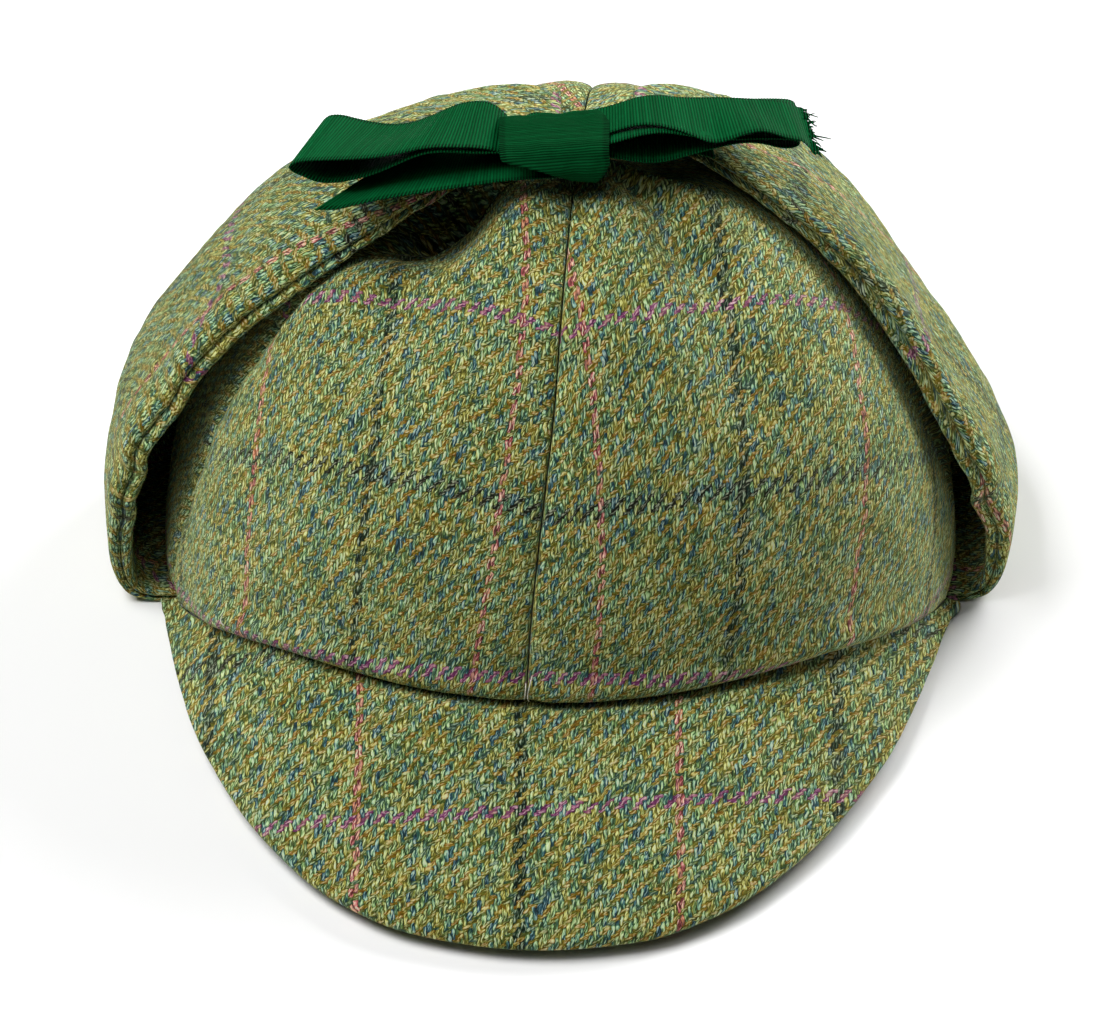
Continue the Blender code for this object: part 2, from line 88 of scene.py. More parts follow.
PEAK_THICK = 3.0 * MM
PEAK_TURN = -3.0                # degrees that a peak's tip lies off its middle
# Each peak's middle and half of its spread round the crown, degrees
PEAKS = {"front": (0.0, 72.8), "back": (180.0, 63.0)}
PEAK_CROWN_GAP = 0.4 * MM
PEAK_BULGE = 3.0 * MM
# degrees from the peak's middle, reach from the centre, height of the rim (mm)
PEAK_ROWS = [
    (-9.5, 150.4, 4.6), (0, 152.2, 4.6), (9.5, 150.4, 4.6), (16.5, 145.4, 4.6),
    (27.5, 132.6, 4.6), (38.5, 119.8, 4.6), (50, 108.8, 4.6), (60, 102, 4.4), (69, 98.4, 4.2),
    (78, 97.4, 4),
]

# The fold that the hat stands on, as fractions of the first upright row.
# across, height
FOLD_ROWS = [
    (0.845, 0), (0.898, 0), (0.955, 0.085), (0.985, 0.33), (0.997, 0.65), (1, 1),
]
# How far the flap's outer surface stands off the crown's dome.
# degrees up the side, front edge, middle, back edge
STAND_ROWS = {
    "left": [
        (9, 1.16, 1.155, 1.06), (20, 1.172, 1.145, 1.03), (35, 1.122, 1.1, 1.022),
        (50, 1.078, 1.078, 1.024), (65, 1.044, 1.046, 1.03), (78, 1.042, 1.036, 1.038),
        (95, 1.04, 1.036, 1.038),
    ],
    "right": [
        (9, 1.145, 1.155, 1.12), (20, 1.142, 1.095, 1.065), (35, 1.066, 1.016, 1.03),
        (50, 1.038, 1, 1.03), (65, 1.036, 1.016, 1.036), (78, 1.046, 1.04, 1.044),
        (95, 1.046, 1.046, 1.046),
    ],
}
# Degrees up the side, front and back edge of each flap along Y (mm).
FLAP_OUTLINE = {
    "left": [
        (0, -26.5, 38), (9, -27, 41), (20, -28.5, 46), (35, -24, 50), (50, -22, 49),
        (65, -17.5, 43), (78, -10, 34), (84, -6, 30), (88, 2, 24),
    ],
    "right": [
        (0, -26.5, 38), (9, -27, 41), (20, -29, 46), (35, -20, 50), (50, -12, 50), (65, -7.5, 45),
        (74, -2, 38), (80, 3, 32), (83, 8, 26),
    ],
}

RIBBON_WALL = 0.55 * MM
KNOT_CENTRE_X = -1.5 * MM
KNOT_TURN = 1.5 * MM            # the wrap's right edge lies this far back, its left one forward
KNOT_CREASE = 0.35 * MM
# Wrap of the bow, seen from the side.
# along Y, height, half-width along X, shift to +X (mm)
KNOT_ROWS = [
    (1, 115.6, 10.5, 0), (0.2, 118.2, 11.5, 0), (-1.9, 119.9, 12, 0), (-4.8, 120.6, 12.2, 0),
    (-8.8, 121, 12.2, 0), (-13.2, 121.1, 12.1, 0), (-17, 120.8, 12, 0), (-19.6, 119.2, 11.8, 0.2),
    (-20.3, 116.2, 7.4, 4.6), (-19.8, 113.2, 4, 6.3), (-18.2, 111.4, 2.8, 6.5),
    (-15, 110.6, 3.6, 6), (-11.2, 111.6, 5.8, 4), (-7.4, 113.1, 8.4, 2), (-2.6, 113.4, 10, 0.8),
    (0.6, 113.8, 10.2, 0),
]
# Where each tie runs over the tip of its flap. x, y, width (mm)
TIE_ROWS = {
    "left": [
        (-3, -5, 7), (-9, -4.6, 7.6), (-14.5, -4, 10), (-20.5, -2.6, 19.5), (-27, -1.6, 23.5),
        (-35.5, -1, 25),
    ],
    "right": [
        (0.5, -5, 7), (7, -4.4, 7.6), (12.2, -3.6, 10), (18.5, 1.6, 19.5), (25.5, 6.6, 23.5),
        (33, 7.6, 25),
    ],
}
TIE_CLEARANCE = 1.0 * MM
TIE_KNOT_HEIGHT = 115.1 * MM
# Ribbon lengths of the bow: x, y, height of the middle, width,
# lift of the back edge over the front one, its offset to +X (mm)
RIBBON_ROWS = {
    "tail_left": [
        (-1, -11.6, 112.9, 13, 0, 0), (-12, -12.2, 113, 15, -0.2, 0),
        (-22.6, -13.4, 113, 19.5, -0.6, 3), (-34, -15.1, 112.4, 22, -0.6, 8),
        (-41.2, -16.8, 111.9, 23.5, -0.4, 15), (-44.6, -17.6, 111.8, 24.5, -0.4, 19),
    ],
    "loop_left": [
        (-3, -7.6, 117.7, 13, 0, 0), (-13.5, -7.9, 117.4, 15.5, -0.4, 0),
        (-28, -9.2, 116.4, 21, -1.4, 2), (-41, -10.6, 115.6, 24, -2.4, 4.4),
        (-51, -11.4, 115.6, 25, -3, 6.2), (-55, -11.7, 116.4, 25, -3.1, 6.8),
        (-56.4, -11.8, 117.8, 25, -3.2, 6.8), (-55, -11.7, 119, 25, -3.2, 6.8),
        (-51, -11.4, 119.4, 25, -3.2, 7), (-41, -10.6, 119.2, 24, -2.8, 6.6),
        (-28, -9.4, 119.2, 20.5, -1.8, 4.6), (-13.5, -7.8, 119.2, 15.5, -0.6, 1.2),
        (-3, -7.6, 119, 13, 0, 0),
    ],
    "loop_right": [
        (0.5, -7.6, 116.4, 13, 0, 0), (10.8, -7, 116.2, 15.5, -0.6, 0),
        (24, -3.6, 115.6, 20, -2, 0), (37, -1.4, 114.6, 22.5, -3.4, 0),
        (47, 0, 114.2, 24, -4.2, 0), (51.6, 0.2, 114.6, 24.5, -4.4, 0),
        (53, 0.2, 115.6, 24.5, -4.4, 0), (51.6, 0.1, 116.6, 24.5, -4.4, 0),
        (46, -0.4, 117.2, 24, -4.2, 0), (36, -1.8, 117.6, 22.5, -3.4, 0),
        (24, -3.6, 117.9, 19.5, -2, 0), (10.8, -7, 117.8, 15.5, -0.6, 0),
        (0.5, -7.6, 117.7, 13, 0, 0),
    ],
    "tail_right": [
        (0.5, -7.6, 119, 13, 0, 0), (10.8, -5.6, 119.6, 11.5, -0.6, 0),
        (24, -4.2, 120, 16.4, -2.4, -1), (38, -4.1, 119.8, 22.8, -3.6, -2),
        (50, -3.7, 119, 22.8, -4, -2), (55.2, -4.3, 118.4, 23.6, -4.2, -1.6),
    ],
}

# How the ribbon lengths buckle: place along them (0-1), half-width along,
# which edge (-1 front, 1 back), height (mm)
WAVE_ROWS = {
    "tail_left": [
        (0.62, 0.1, 1, 0.8), (0.82, 0.12, -1, -0.6),
    ],
    "loop_left": [
        (0.235, 0.09, 1, -2.8), (0.765, 0.09, 1, -3.4), (0.868, 0.065, 1, 3.4),
        (0.935, 0.025, 1, -3.4), (0.84, 0.04, -1, 1.4), (0.935, 0.03, -1, -2),
        (0.167, 0.05, -1, 3.2), (0.3, 0.06, -1, -2),
    ],
    "loop_right": [
        (0.15, 0.05, -1, -2.4), (0.28, 0.06, -1, 2), (0.86, 0.07, -1, 3),
    ],
    "tail_right": [
        (0.32, 0.1, -1, 1.8), (0.52, 0.06, -1, -1.6), (0.68, 0.07, -1, 1.7), (1, 0.08, -1, -2),
        (0.33, 0.13, 1, 2.2), (1, 0.1, 1, -1.2),
    ],
}

# ---------------------------------------------------------------- sizes of the finish

WARP_PITCH = 0.88               # distance between the tweed's yarns, mm, also on its UV map
WEFT_PITCH = 84.48 / 84         # the purple lines are 84.48 mm and 84 yarns apart
TWEED_LIGHT = 0.82              # lightness on the back of a yarn and, as painted shade, between the yarns
TWEED_GAP_SHADE = 0.12
WARP_REPEAT = 80                # yarns from one pink line to the next
WEFT_REPEAT = 84                # yarns from one purple line to the next
RIB = 0.66 * MM                 # pitch of the ribbon's ribs
SEAM_ROUND = 2.2 * MM           # how far in the cloth rolls down at a crown seam
HEM_ROUND = 1.8 * MM
PEAK_EDGE_ROUND = 1.5 * MM
HEM_ROLL = 2.6 * MM             # the crown's cloth swells over the peak's seam
HEM_ROLL_HEIGHT = 3.2 * MM
FLAP_WALL_LOW = 5.8 * MM        # two layers of tweed and a stiffener, at the fold
FLAP_WALL_TOP = 3.2 * MM
FLAP_WALL_FOOT = 3.0 * MM       # where the fold runs in under the crown
FLAP_CURL = 1.6 * MM            # how far the flap's edge curls in towards the crown
FLAP_DEGREE = 1.8 * MM          # length up a flap for one degree up the side
FLAP_EDGE_ROUND = 1.9 * MM


# ---------------------------------------------------------------- shape functions

def lookup(rows, column, where):
    """Read a column of a table with a smooth curve through its rows."""
    keys = np.array([row[0] for row in rows], dtype=float)
    values = np.array([row[column] for row in rows], dtype=float)
    where = np.clip(np.asarray(where, dtype=float), keys[0], keys[-1])
    steps = np.diff(values) / np.diff(keys)
    slopes = np.zeros_like(values)
    for i in range(1, len(keys) - 1):
        if steps[i - 1] * steps[i] > 0.0:
            slopes[i] = 2.0 * steps[i - 1] * steps[i] / (steps[i - 1] + steps[i])
    slopes[0] = steps[0]
    slopes[-1] = steps[-1]
    i = np.clip(np.searchsorted(keys, where, side="right") - 1, 0, len(keys) - 2)
    span = keys[i + 1] - keys[i]
    u = (where - keys[i]) / span
    bend = span * (slopes[i] * u * (1 - u) ** 2 - slopes[i + 1] * u * u * (1 - u))
    return values[i] + (values[i + 1] - values[i]) * u * u * (3 - 2 * u) + bend


def path(rows, column, u):
    """Read a column along the rows themselves, u from 0 to 1."""
    numbered = [(i, row[column]) for i, row in enumerate(rows)]
    return lookup(numbered, 1, np.asarray(u) * (len(rows) - 1))


def stack(*parts):
    """Arrays side by side, as the columns of one."""
    return np.stack(np.broadcast_arrays(*parts), axis=-1)


def ease(value):
    """A smooth step from 0 to 1."""
    value = np.clip(value, 0.0, 1.0)
    return value * value * (3.0 - 2.0 * value)


def hump(value, width):
    """A smooth bump, 1 at 0."""
    return np.exp(-(value / width) ** 2)


def wrap_degrees(angle):
    """The same direction between -180 and 180."""
    return (np.asarray(angle) + 180.0) % 360.0 - 180.0


def waves(u, v, seed, scale, octaves=4):
    """Smooth irregular swells between about -1 and 1, the same each time."""
    draw = np.random.default_rng(seed)
    total = np.zeros(np.broadcast(u, v).shape)
    for octave in range(octaves):
        for _ in range(3):
            turn, shift = draw.uniform(0.0, 2.0 * math.pi, 2)
            step = 2.0 * math.pi / scale * draw.uniform(0.7, 1.4) * 1.8 ** octave
            total = total + 0.6 ** octave * np.sin(
                step * (u * math.cos(turn) + v * math.sin(turn)) + shift)
    return total / 4.0


def plan_radius(azimuth):
    """Radius of the crown's oval plan in a direction given in degrees."""
    turn = np.radians(azimuth)
    across = np.abs(np.sin(turn) / CROWN_HALF_WIDTH) ** CROWN_POWER
    along = np.abs(np.cos(turn) / CROWN_HALF_LENGTH) ** CROWN_POWER
    return (across + along) ** (-1.0 / CROWN_POWER)


def edge_height(azimuth):
    """Height of the crown's lower edge above the table."""
    return lookup(EDGE_ROWS, 1, np.abs(wrap_degrees(azimuth))) * MM


def seam_distance(azimuth, radius):
    """Distance round the crown to the nearest seam."""
    turns = [np.abs(wrap_degrees(azimuth - seam)) for seam in SEAMS.values()]
    return np.radians(np.min(turns, axis=0)) * radius


def dome_point(azimuth, rise):
    """A point of the crown: azimuth in degrees, rise 0 at its edge and 1 at its top."""
    azimuth, rise = np.broadcast_arrays(np.asarray(azimuth, float), np.asarray(rise, float))
    foot = edge_height(azimuth)
    low = np.clip((foot - CROWN_FOOT) / CROWN_RISE, 0.0, 1.0)
    start = np.arcsin(low ** (CROWN_POWER / 2.0))
    lift = start + (math.pi / 2.0 - start) * rise
    reach = np.clip(np.cos(lift), 0.0, 1.0) ** (2.0 / CROWN_POWER)
    height = CROWN_FOOT + CROWN_RISE * np.sin(lift) ** (2.0 / CROWN_POWER)
    radius = plan_radius(azimuth) * reach
    dent = np.zeros(azimuth.shape)
    for turn, middle, wide, tall, depth in DENT_ROWS:
        off = wrap_degrees(azimuth - turn) / wide
        dent = dent + depth * MM * np.exp(-off ** 2 - ((rise - middle) / tall) ** 2)
    near = seam_distance(azimuth, radius) / SEAM_WIDTH
    dent = dent + SEAM_DEPTH * np.exp(-near ** 2) * np.clip(radius / (12 * MM), 0.0, 1.0)
    front = np.cos(np.radians(azimuth)) ** 2
    pinch = EDGE_PINCH * front * np.exp(-((height - foot) / EDGE_PINCH_HEIGHT) ** 2)
    radius = np.maximum(radius - (dent + pinch) * np.cos(lift), 0.2 * radius)
    height = height - dent * np.sin(lift)
    turn = np.radians(azimuth)
    lean = CROWN_LEAN * ease(rise / 0.55)
    return stack(radius * np.sin(turn) + lean, -radius * np.cos(turn), height)


def unit(vectors):
    """Vectors of length 1."""
    return vectors / np.maximum(np.linalg.norm(vectors, axis=-1, keepdims=True), 1e-12)


def facing(normal, outward):
    """Normals turned to the side that outward points to."""
    return normal * np.sign(np.sum(normal * outward, axis=-1, keepdims=True))


def flap_section(side, lift, share, along):
    """A point of a flap's outer surface, on the +X side."""
    front, middle, back = (lookup(STAND_ROWS[side], k, lift) for k in (1, 2, 3))
    bow = 1.0 - share ** 2
    stand = middle * bow + (1.0 - bow) * (front * (1.0 - share) + back * (1.0 + share)) / 2.0
    turn = np.radians(lift)
    across = np.abs(np.cos(turn) / CROWN_HALF_WIDTH) ** CROWN_POWER
    upward = np.abs(np.sin(turn) / CROWN_RISE) ** CROWN_POWER
    radius = stand * (across + upward) ** (-1.0 / CROWN_POWER)
    shrink = (1.0 - np.abs(along / CROWN_HALF_LENGTH) ** CROWN_POWER) ** (1.0 / CROWN_POWER)
    return shrink * radius * np.cos(turn), CROWN_FOOT + shrink * radius * np.sin(turn)


def flap_edges(side, lift):
    """Where a flap's front and back edges lie along Y."""
    return (lookup(FLAP_OUTLINE[side], column, lift) * MM for column in (1, 2))


def lean_at(height):
    """How far the flaps follow the crown's lean to +X."""
    return CROWN_LEAN * np.clip((height - 45 * MM) / (50 * MM), 0.0, 1.0)


def flap_height(side, x, y):
    """Height of a flap's outer surface over a point near the hat's top."""
    sign = 1.0 if side == "right" else -1.0
    lift = np.linspace(50.0, 95.0, 91)
    front, back = flap_edges(side, lift)
    heights = []
    for one_x, one_y in zip(np.ravel(x), np.ravel(y)):
        share = np.clip((2.0 * one_y - front - back) / (back - front), -1.0, 1.0)
        across, height = flap_section(side, lift, share, one_y + 0.0 * lift)
        across = across + sign * lean_at(height)
        heights.append(np.interp(-sign * one_x, -across, height))
    return np.array(heights).reshape(np.shape(x))


# ---------------------------------------------------------------- meshes

def place_object(name, data, location=(0.0, 0.0, 0.0)):
    """A new object in the scene."""
    thing = bpy.data.objects.new(name, data)
    thing.location = location
    scene.collection.objects.link(thing)
    return thing


def build(name, points, faces, cloth, material):
    """A smooth closed mesh from points, quads and each point's place on the flat cloth."""
    points = np.asarray(points, float)
    faces = np.asarray(faces, int)
    a, b, c = points[faces[:, 0]], points[faces[:, 1]], points[faces[:, 2]]
    d = points[faces[:, 3]]
    volume = (np.cross(a, b) * c).sum() + (np.cross(a, c) * d).sum()
    if volume < 0.0:
        faces = faces[:, ::-1]
    keep = []
    for face in faces:
        corners = list(dict.fromkeys(face.tolist()))
        if len(corners) > 2:
            keep.append(corners)
    mesh = bpy.data.meshes.new(name)
    mesh.from_pydata(points.tolist(), [], keep)
    layer = mesh.uv_layers.new(name="cloth")
    index = np.zeros(len(mesh.loops), np.int32)
    mesh.loops.foreach_get("vertex_index", index)
    layer.data.foreach_set("uv", np.asarray(cloth, np.float32)[index].ravel())
    mesh.materials.append(material)
    mesh.shade_smooth()
    mesh.set_sharp_from_angle(angle=math.radians(55.0))
    return place_object(name, mesh)


def grid_faces(rows, columns, start=0):
    """Quads of a grid of points."""
    i, j = np.meshgrid(np.arange(rows - 1), np.arange(columns - 1), indexing="ij")
    corner = (i * columns + j).ravel() + start
    return stack(corner, corner + columns, corner + columns + 1, corner + 1)


def border(rows, columns):
    """The points round a grid, in order."""
    top = [i * columns for i in range(rows)]
    right = [(rows - 1) * columns + j for j in range(1, columns)]
    bottom = [i * columns + columns - 1 for i in range(rows - 2, -1, -1)]
    left = list(range(columns - 2, 0, -1))
    return np.array(top + right + bottom + left)


def faces_of(place, normal, thick, depth):
    """The two faces of a wall under a surface; they meet at mid-wall where depth is 1."""
    depth = depth[..., None]
    return place - normal * 0.5 * thick * depth, place - normal * thick * (1.0 - 0.5 * depth)


def wall(name, outside, inside, depth, cloth, material):
    """A closed wall between two grids, which share the points where depth is 1."""
    rows, columns = outside.shape[:2]
    count = rows * columns
    points = np.concatenate([outside.reshape(-1, 3), inside.reshape(-1, 3)])
    twin = np.arange(2 * count)
    shared = np.flatnonzero(np.broadcast_to(depth > 0.9999, (rows, columns)).ravel())
    twin[shared + count] = shared
    ring = border(rows, columns)
    after = np.roll(ring, -1)
    rim = stack(ring, ring + count, after + count, after)
    back = grid_faces(rows, columns, count)[:, ::-1]
    faces = twin[np.concatenate([grid_faces(rows, columns), back, rim])]
    # the rim runs the other way round than the front
    faces[-len(rim):] = faces[-len(rim):, ::-1]
    both = np.concatenate([cloth.reshape(-1, 2)] * 2)
    used, faces = np.unique(faces, return_inverse=True)
    return build(name, points[used], faces.reshape(-1, 4), both[used], material)


def bordered(width, count, round_in, first, last, half_wall):
    """Places across a piece from edge to edge.

    Also how deep its surface lies there, 0 on the surface and 1 at mid-wall, the place
    on the flat cloth, which runs on round the edges, and how far round a roll it is.
    first and last are the layers that show at each edge: 0 cut plainly, 1 one roll,
    2 two rolls with a groove between them.
    """
    width = np.atleast_1d(width)[:, None]
    reach = np.minimum(round_in, 0.3 * width)

    def rolled(layers):
        turn = np.linspace(layers * math.pi / 2.0, 0.0, 6 * layers + 1)[None, :-1]
        if layers == 0:
            turn = turn[:, :0]
        depth = (1.0 - np.cos(turn)) / max(layers, 1)
        arc = (reach + half_wall / max(layers, 1)) / 2.0
        return (1.0 - np.sin(turn)) * reach, depth[0], reach - turn * arc, np.sin(turn[0])

    place_a, deep_a, flat_a, bend_a = rolled(first)
    place_b, deep_b, flat_b, bend_b = rolled(last)
    start = reach * (first > 0)
    stop = width - reach * (last > 0)
    middle = start + (stop - start) * np.linspace(0.0, 1.0, count + 1)[None, :]
    place = np.concatenate([place_a, middle, (width - place_b)[:, ::-1]], axis=1)
    flat = np.concatenate([flat_a, middle, (width - flat_b)[:, ::-1]], axis=1)
    depth = np.concatenate([deep_a, np.zeros(count + 1), deep_b[::-1]])
    bend = np.concatenate([-bend_a, np.zeros(count + 1), bend_b[::-1]])
    return place, depth, flat, bend


def together(deep_a, deep_b):
    """Depth where two rolled edges meet."""
    return np.clip(1.0 - (1.0 - deep_a[:, None]) * (1.0 - deep_b[None, :]), 0.0, 1.0)


# ---------------------------------------------------------------- materials

def shorthand(operation):
    """A method of Nodes for one kind of sum."""
    return lambda self, *values, clamp=False: self.make(
        "Math", values, operation=operation, use_clamp=clamp)


class Nodes:
    """Short names for the nodes of one material. Each method gives the new node's output."""

    def __init__(self, name):
        self.material = bpy.data.materials.new(name)
        self.material.use_nodes = True
        self.tree = self.material.node_tree

    def feed(self, socket, value):
        if isinstance(value, bpy.types.NodeSocket):
            self.tree.links.new(value, socket)
        else:
            socket.default_value = value

    def make(self, kind, values=(), out=0, **settings):
        """A new node; values feed its sockets in order, or by name."""
        made = self.tree.nodes.new("ShaderNode" + kind)
        for key, value in settings.items():
            setattr(made, key, value)
        for socket, value in values.items() if isinstance(values, dict) else enumerate(values):
            self.feed(made.inputs[socket], value)
        return made.outputs[out]

    add, sub = shorthand("ADD"), shorthand("SUBTRACT")
    mul, mad = shorthand("MULTIPLY"), shorthand("MULTIPLY_ADD")
    power, absolute, sine = shorthand("POWER"), shorthand("ABSOLUTE"), shorthand("SINE")
    floor, fract, modulo = shorthand("FLOOR"), shorthand("FRACT"), shorthand("FLOORED_MODULO")
    above, below = shorthand("GREATER_THAN"), shorthand("LESS_THAN")

    def cloth(self):
        return self.make("UVMap", uv_map="cloth")

    def vector(self, x, y, z):
        return self.make("CombineXYZ", (x, y, z))

    def parts(self, value, kind="SeparateXYZ"):
        return self.make(kind, [value]).node.outputs

    def random(self, where, out="Value"):
        return self.make("TexWhiteNoise", {"Vector": where}, out, noise_dimensions="3D")

    def noise(self, where, scale, detail=2.0, roughness=0.5, out="Fac"):
        return self.make("TexNoise", {
            "Vector": where, "Scale": scale, "Detail": detail, "Roughness": roughness}, out)

    def mix(self, share, first, second, blend="MIX"):
        return self.make("Mix", {"Factor": share, "A": first, "B": second}, "Result",
                         data_type="RGBA", blend_type=blend)

    def blend(self, share, first, second):
        return self.make("Mix", {0: share, 2: first, 3: second}, data_type="FLOAT")

    def ramp(self, where, stops):
        colour = self.make("ValToRGB", {"Fac": where}, "Color")
        band = colour.node.color_ramp
        band.elements.remove(band.elements[-1])
        band.elements[0].position, band.elements[0].color = stops[0]
        for position, hue in stops[1:]:
            band.elements.new(position).color = hue
        return colour

    def bump(self, height, strength, distance):
        return self.make("Bump", {
            "Strength": strength, "Distance": distance, "Height": height}, "Normal")

    def finish(self, values):
        """Set the shader's sockets and hand over the material."""
        for name, value in values.items():
            self.feed(self.tree.nodes["Principled BSDF"].inputs[name], value)
        return self.material


def srgb(*levels):
    """A colour given as on a screen, 0-255."""
    levels = [level / 255.0 for level in levels]
    return (*(v / 12.92 if v <= 0.04045 else ((v + 0.055) / 1.055) ** 2.4 for v in levels), 1.0)


def palette(colours):
    """Colours side by side on a ramp."""
    return [(i / len(colours), srgb(*colour)) for i, colour in enumerate(colours)]


WARP_COLOURS = [
    (62, 110, 126), (82, 138, 146), (64, 124, 94), (128, 178, 144), (70, 114, 62),
    (150, 192, 120), (110, 146, 66), (192, 206, 138), (142, 154, 56), (184, 178, 76),
]
WEFT_COLOURS = [
    (66, 98, 82), (80, 106, 44), (108, 124, 50), (100, 90, 34), (126, 120, 30),
    (142, 142, 50), (138, 116, 26), (164, 132, 28), (148, 98, 28), (172, 150, 52),
]
PINK_COLOURS = [(150, 52, 66), (214, 112, 112), (196, 86, 100), (236, 176, 160), (206, 110, 72)]
PURPLE_COLOURS = [(96, 44, 92), (158, 70, 130), (134, 58, 112), (186, 110, 150), (150, 70, 92)]
DARK_WARP_COLOURS = [(4, 34, 44), (10, 56, 56), (10, 46, 32), (26, 64, 42)]
DARK_WEFT_COLOURS = [(20, 26, 20), (38, 34, 24), (30, 42, 32), (48, 38, 26)]
# How the yarns wander: the swells' scale per mm, and how far they carry, in yarns
WANDER = [(0.16, 2.2), (0.6, 0.8), (2.2, 0.22)]


def tweed_material():
    """Heather tweed in a 2/2 twill, with a window check in pink, purple and dark yarns."""
    n = Nodes("tweed")
    cloth = n.cloth()
    swells = [(n.parts(n.noise(cloth, scale, 1.0, out="Color")), far) for scale, far in WANDER]
    flat = n.parts(cloth)
    place = []
    for k, pitch in enumerate((WARP_PITCH, WEFT_PITCH)):
        at = n.mul(flat[k], 1.0 / pitch)
        for swell, far in swells:
            at = n.mad(n.sub(swell[k], 0.5), far, at)
        place.append(at)
    x, y = place

    def yarns(at, along_at, *, early, lean, seed, reach, strands, slant, gap, contrast,
              colours, repeat, few, many, line, dark):
        """One set of yarns where it floats on top: its height, colour and lightness.

        Each repeat has few yarns in a bright line and, half-way, many in a dark one.
        """
        number = n.floor(at)
        beat = n.add(n.sub(along_at, number), early)
        along = n.mad(n.modulo(beat, 4.0), 0.5, -1.0)
        ident = n.vector(number, n.floor(n.mul(beat, 0.25)), seed)
        across = n.sub(n.sub(n.fract(at), 0.5), n.mul(along, lean))
        chance, light = n.parts(n.random(ident, "Color"), "SeparateColor")[:2]
        side = n.mul(across, across)
        end = n.power(n.absolute(n.mul(along, 1.0 / reach)), 3.0)
        # the fibres twist round the yarn, so they cross it at a slant
        slanted = n.mad(along_at, -slant * strands, n.mul(at, strands))
        fibre = n.noise(n.vector(slanted, n.mul(along_at, 0.5), number), 1.0, 1.0, 0.6)
        fibre = n.mad(n.sub(fibre, 0.5), 4.0, 0.45, clamp=True)
        height = n.sub(n.sub(1.0, n.mul(side, gap)), end, clamp=True)
        height = n.mul(height, n.mad(fibre, 0.6, 0.55), clamp=True)
        patch = n.noise(n.vector(n.mul(at, 0.30), n.mul(along_at, 0.12), 4.0), 1.0, 2.0, 0.6)
        tone = n.mad(n.sub(patch, 0.5), 2.6, n.mad(chance, 0.8, 0.1))
        tone = n.mad(n.sub(fibre, 0.5), 0.2, tone, clamp=True)
        colour = n.ramp(tone, palette(colours))
        turn = n.modulo(number, float(repeat))
        half = repeat / 2.0 - 0.5
        in_dark = n.mul(n.above(turn, half), n.below(turn, half + many))
        for chosen, hues in ((n.below(turn, few - 0.5), line), (in_dark, dark)):
            hue = n.mad(fibre, 0.5, n.mul(chance, 0.6), clamp=True)
            colour = n.mix(chosen, colour, n.ramp(hue, palette(hues)))
        bright = n.mad(light, 0.5 * contrast, 1.0 - 0.25 * contrast)
        strand = n.mad(n.power(fibre, 1.5), 1.9 * contrast, 1.05 - 0.72 * contrast)
        return height, colour, n.mul(bright, strand)

    height_warp, warp, bright_warp = yarns(
        x, y, early=1.0, lean=-0.08, seed=3.0, reach=0.80, strands=2.6, slant=0.28,
        gap=2.6, contrast=1.0, colours=WARP_COLOURS, repeat=WARP_REPEAT, few=2, many=3,
        line=PINK_COLOURS, dark=DARK_WARP_COLOURS)
    height_weft, weft, bright_weft = yarns(
        y, x, early=0.0, lean=0.50, seed=7.0, reach=0.66, strands=2.2, slant=0.65,
        gap=2.2, contrast=0.55, colours=WEFT_COLOURS, repeat=WEFT_REPEAT, few=3, many=4,
        line=PURPLE_COLOURS, dark=DARK_WEFT_COLOURS)
    warp_over = n.mad(n.sub(height_warp, height_weft), 3.0, 0.5, clamp=True)
    colour = n.mix(warp_over, weft, warp)
    height = n.blend(warp_over, height_weft, height_warp)
    bright = n.blend(warp_over, bright_weft, bright_warp)

    # painted shade deep between the floats and in the gaps between the yarns, light on their
    # backs; worn unevenly
    shade = n.mul(n.mad(n.power(height, 0.9), TWEED_LIGHT, TWEED_GAP_SHADE), bright)
    # painted shade along the gaps between the warp yarns, and less between the weft yarns
    for at, gap in ((x, 0.42), (y, 0.16)):
        middle = n.sub(n.fract(at), 0.5)
        middle = n.mul(n.mul(middle, middle), 4.0)
        shade = n.mul(shade, n.mad(middle, -gap, 1.0 + 0.33 * gap))
    worn = n.noise(cloth, 0.05, 3.0, 0.55)
    shade = n.mul(shade, n.mad(worn, 0.9, 0.55))
    colour = n.mix(1.0, colour, n.make("CombineColor", [shade] * 3), "MULTIPLY")
    # partly painted highlight, partly the pale fibres' own colour: the lightest spots wash
    # towards a pale grey-green
    pale_highlight = n.mad(shade, 0.5, -0.30, clamp=True)
    fuzz = n.noise(cloth, 4.0, 3.0, 0.7)
    return n.finish({
        "Base Color": n.mix(pale_highlight, colour, (0.50, 0.58, 0.40, 1.0)),
        "Normal": n.bump(n.mad(fuzz, 0.45, height), 0.8, 0.30 * MM),
        "Roughness": n.mad(fuzz, 0.15, 0.84),
        "Specular IOR Level": 0.08,
        "Sheen Weight": 0.30,
        "Sheen Roughness": 0.5,
        "Sheen Tint": srgb(196, 206, 150),
    })


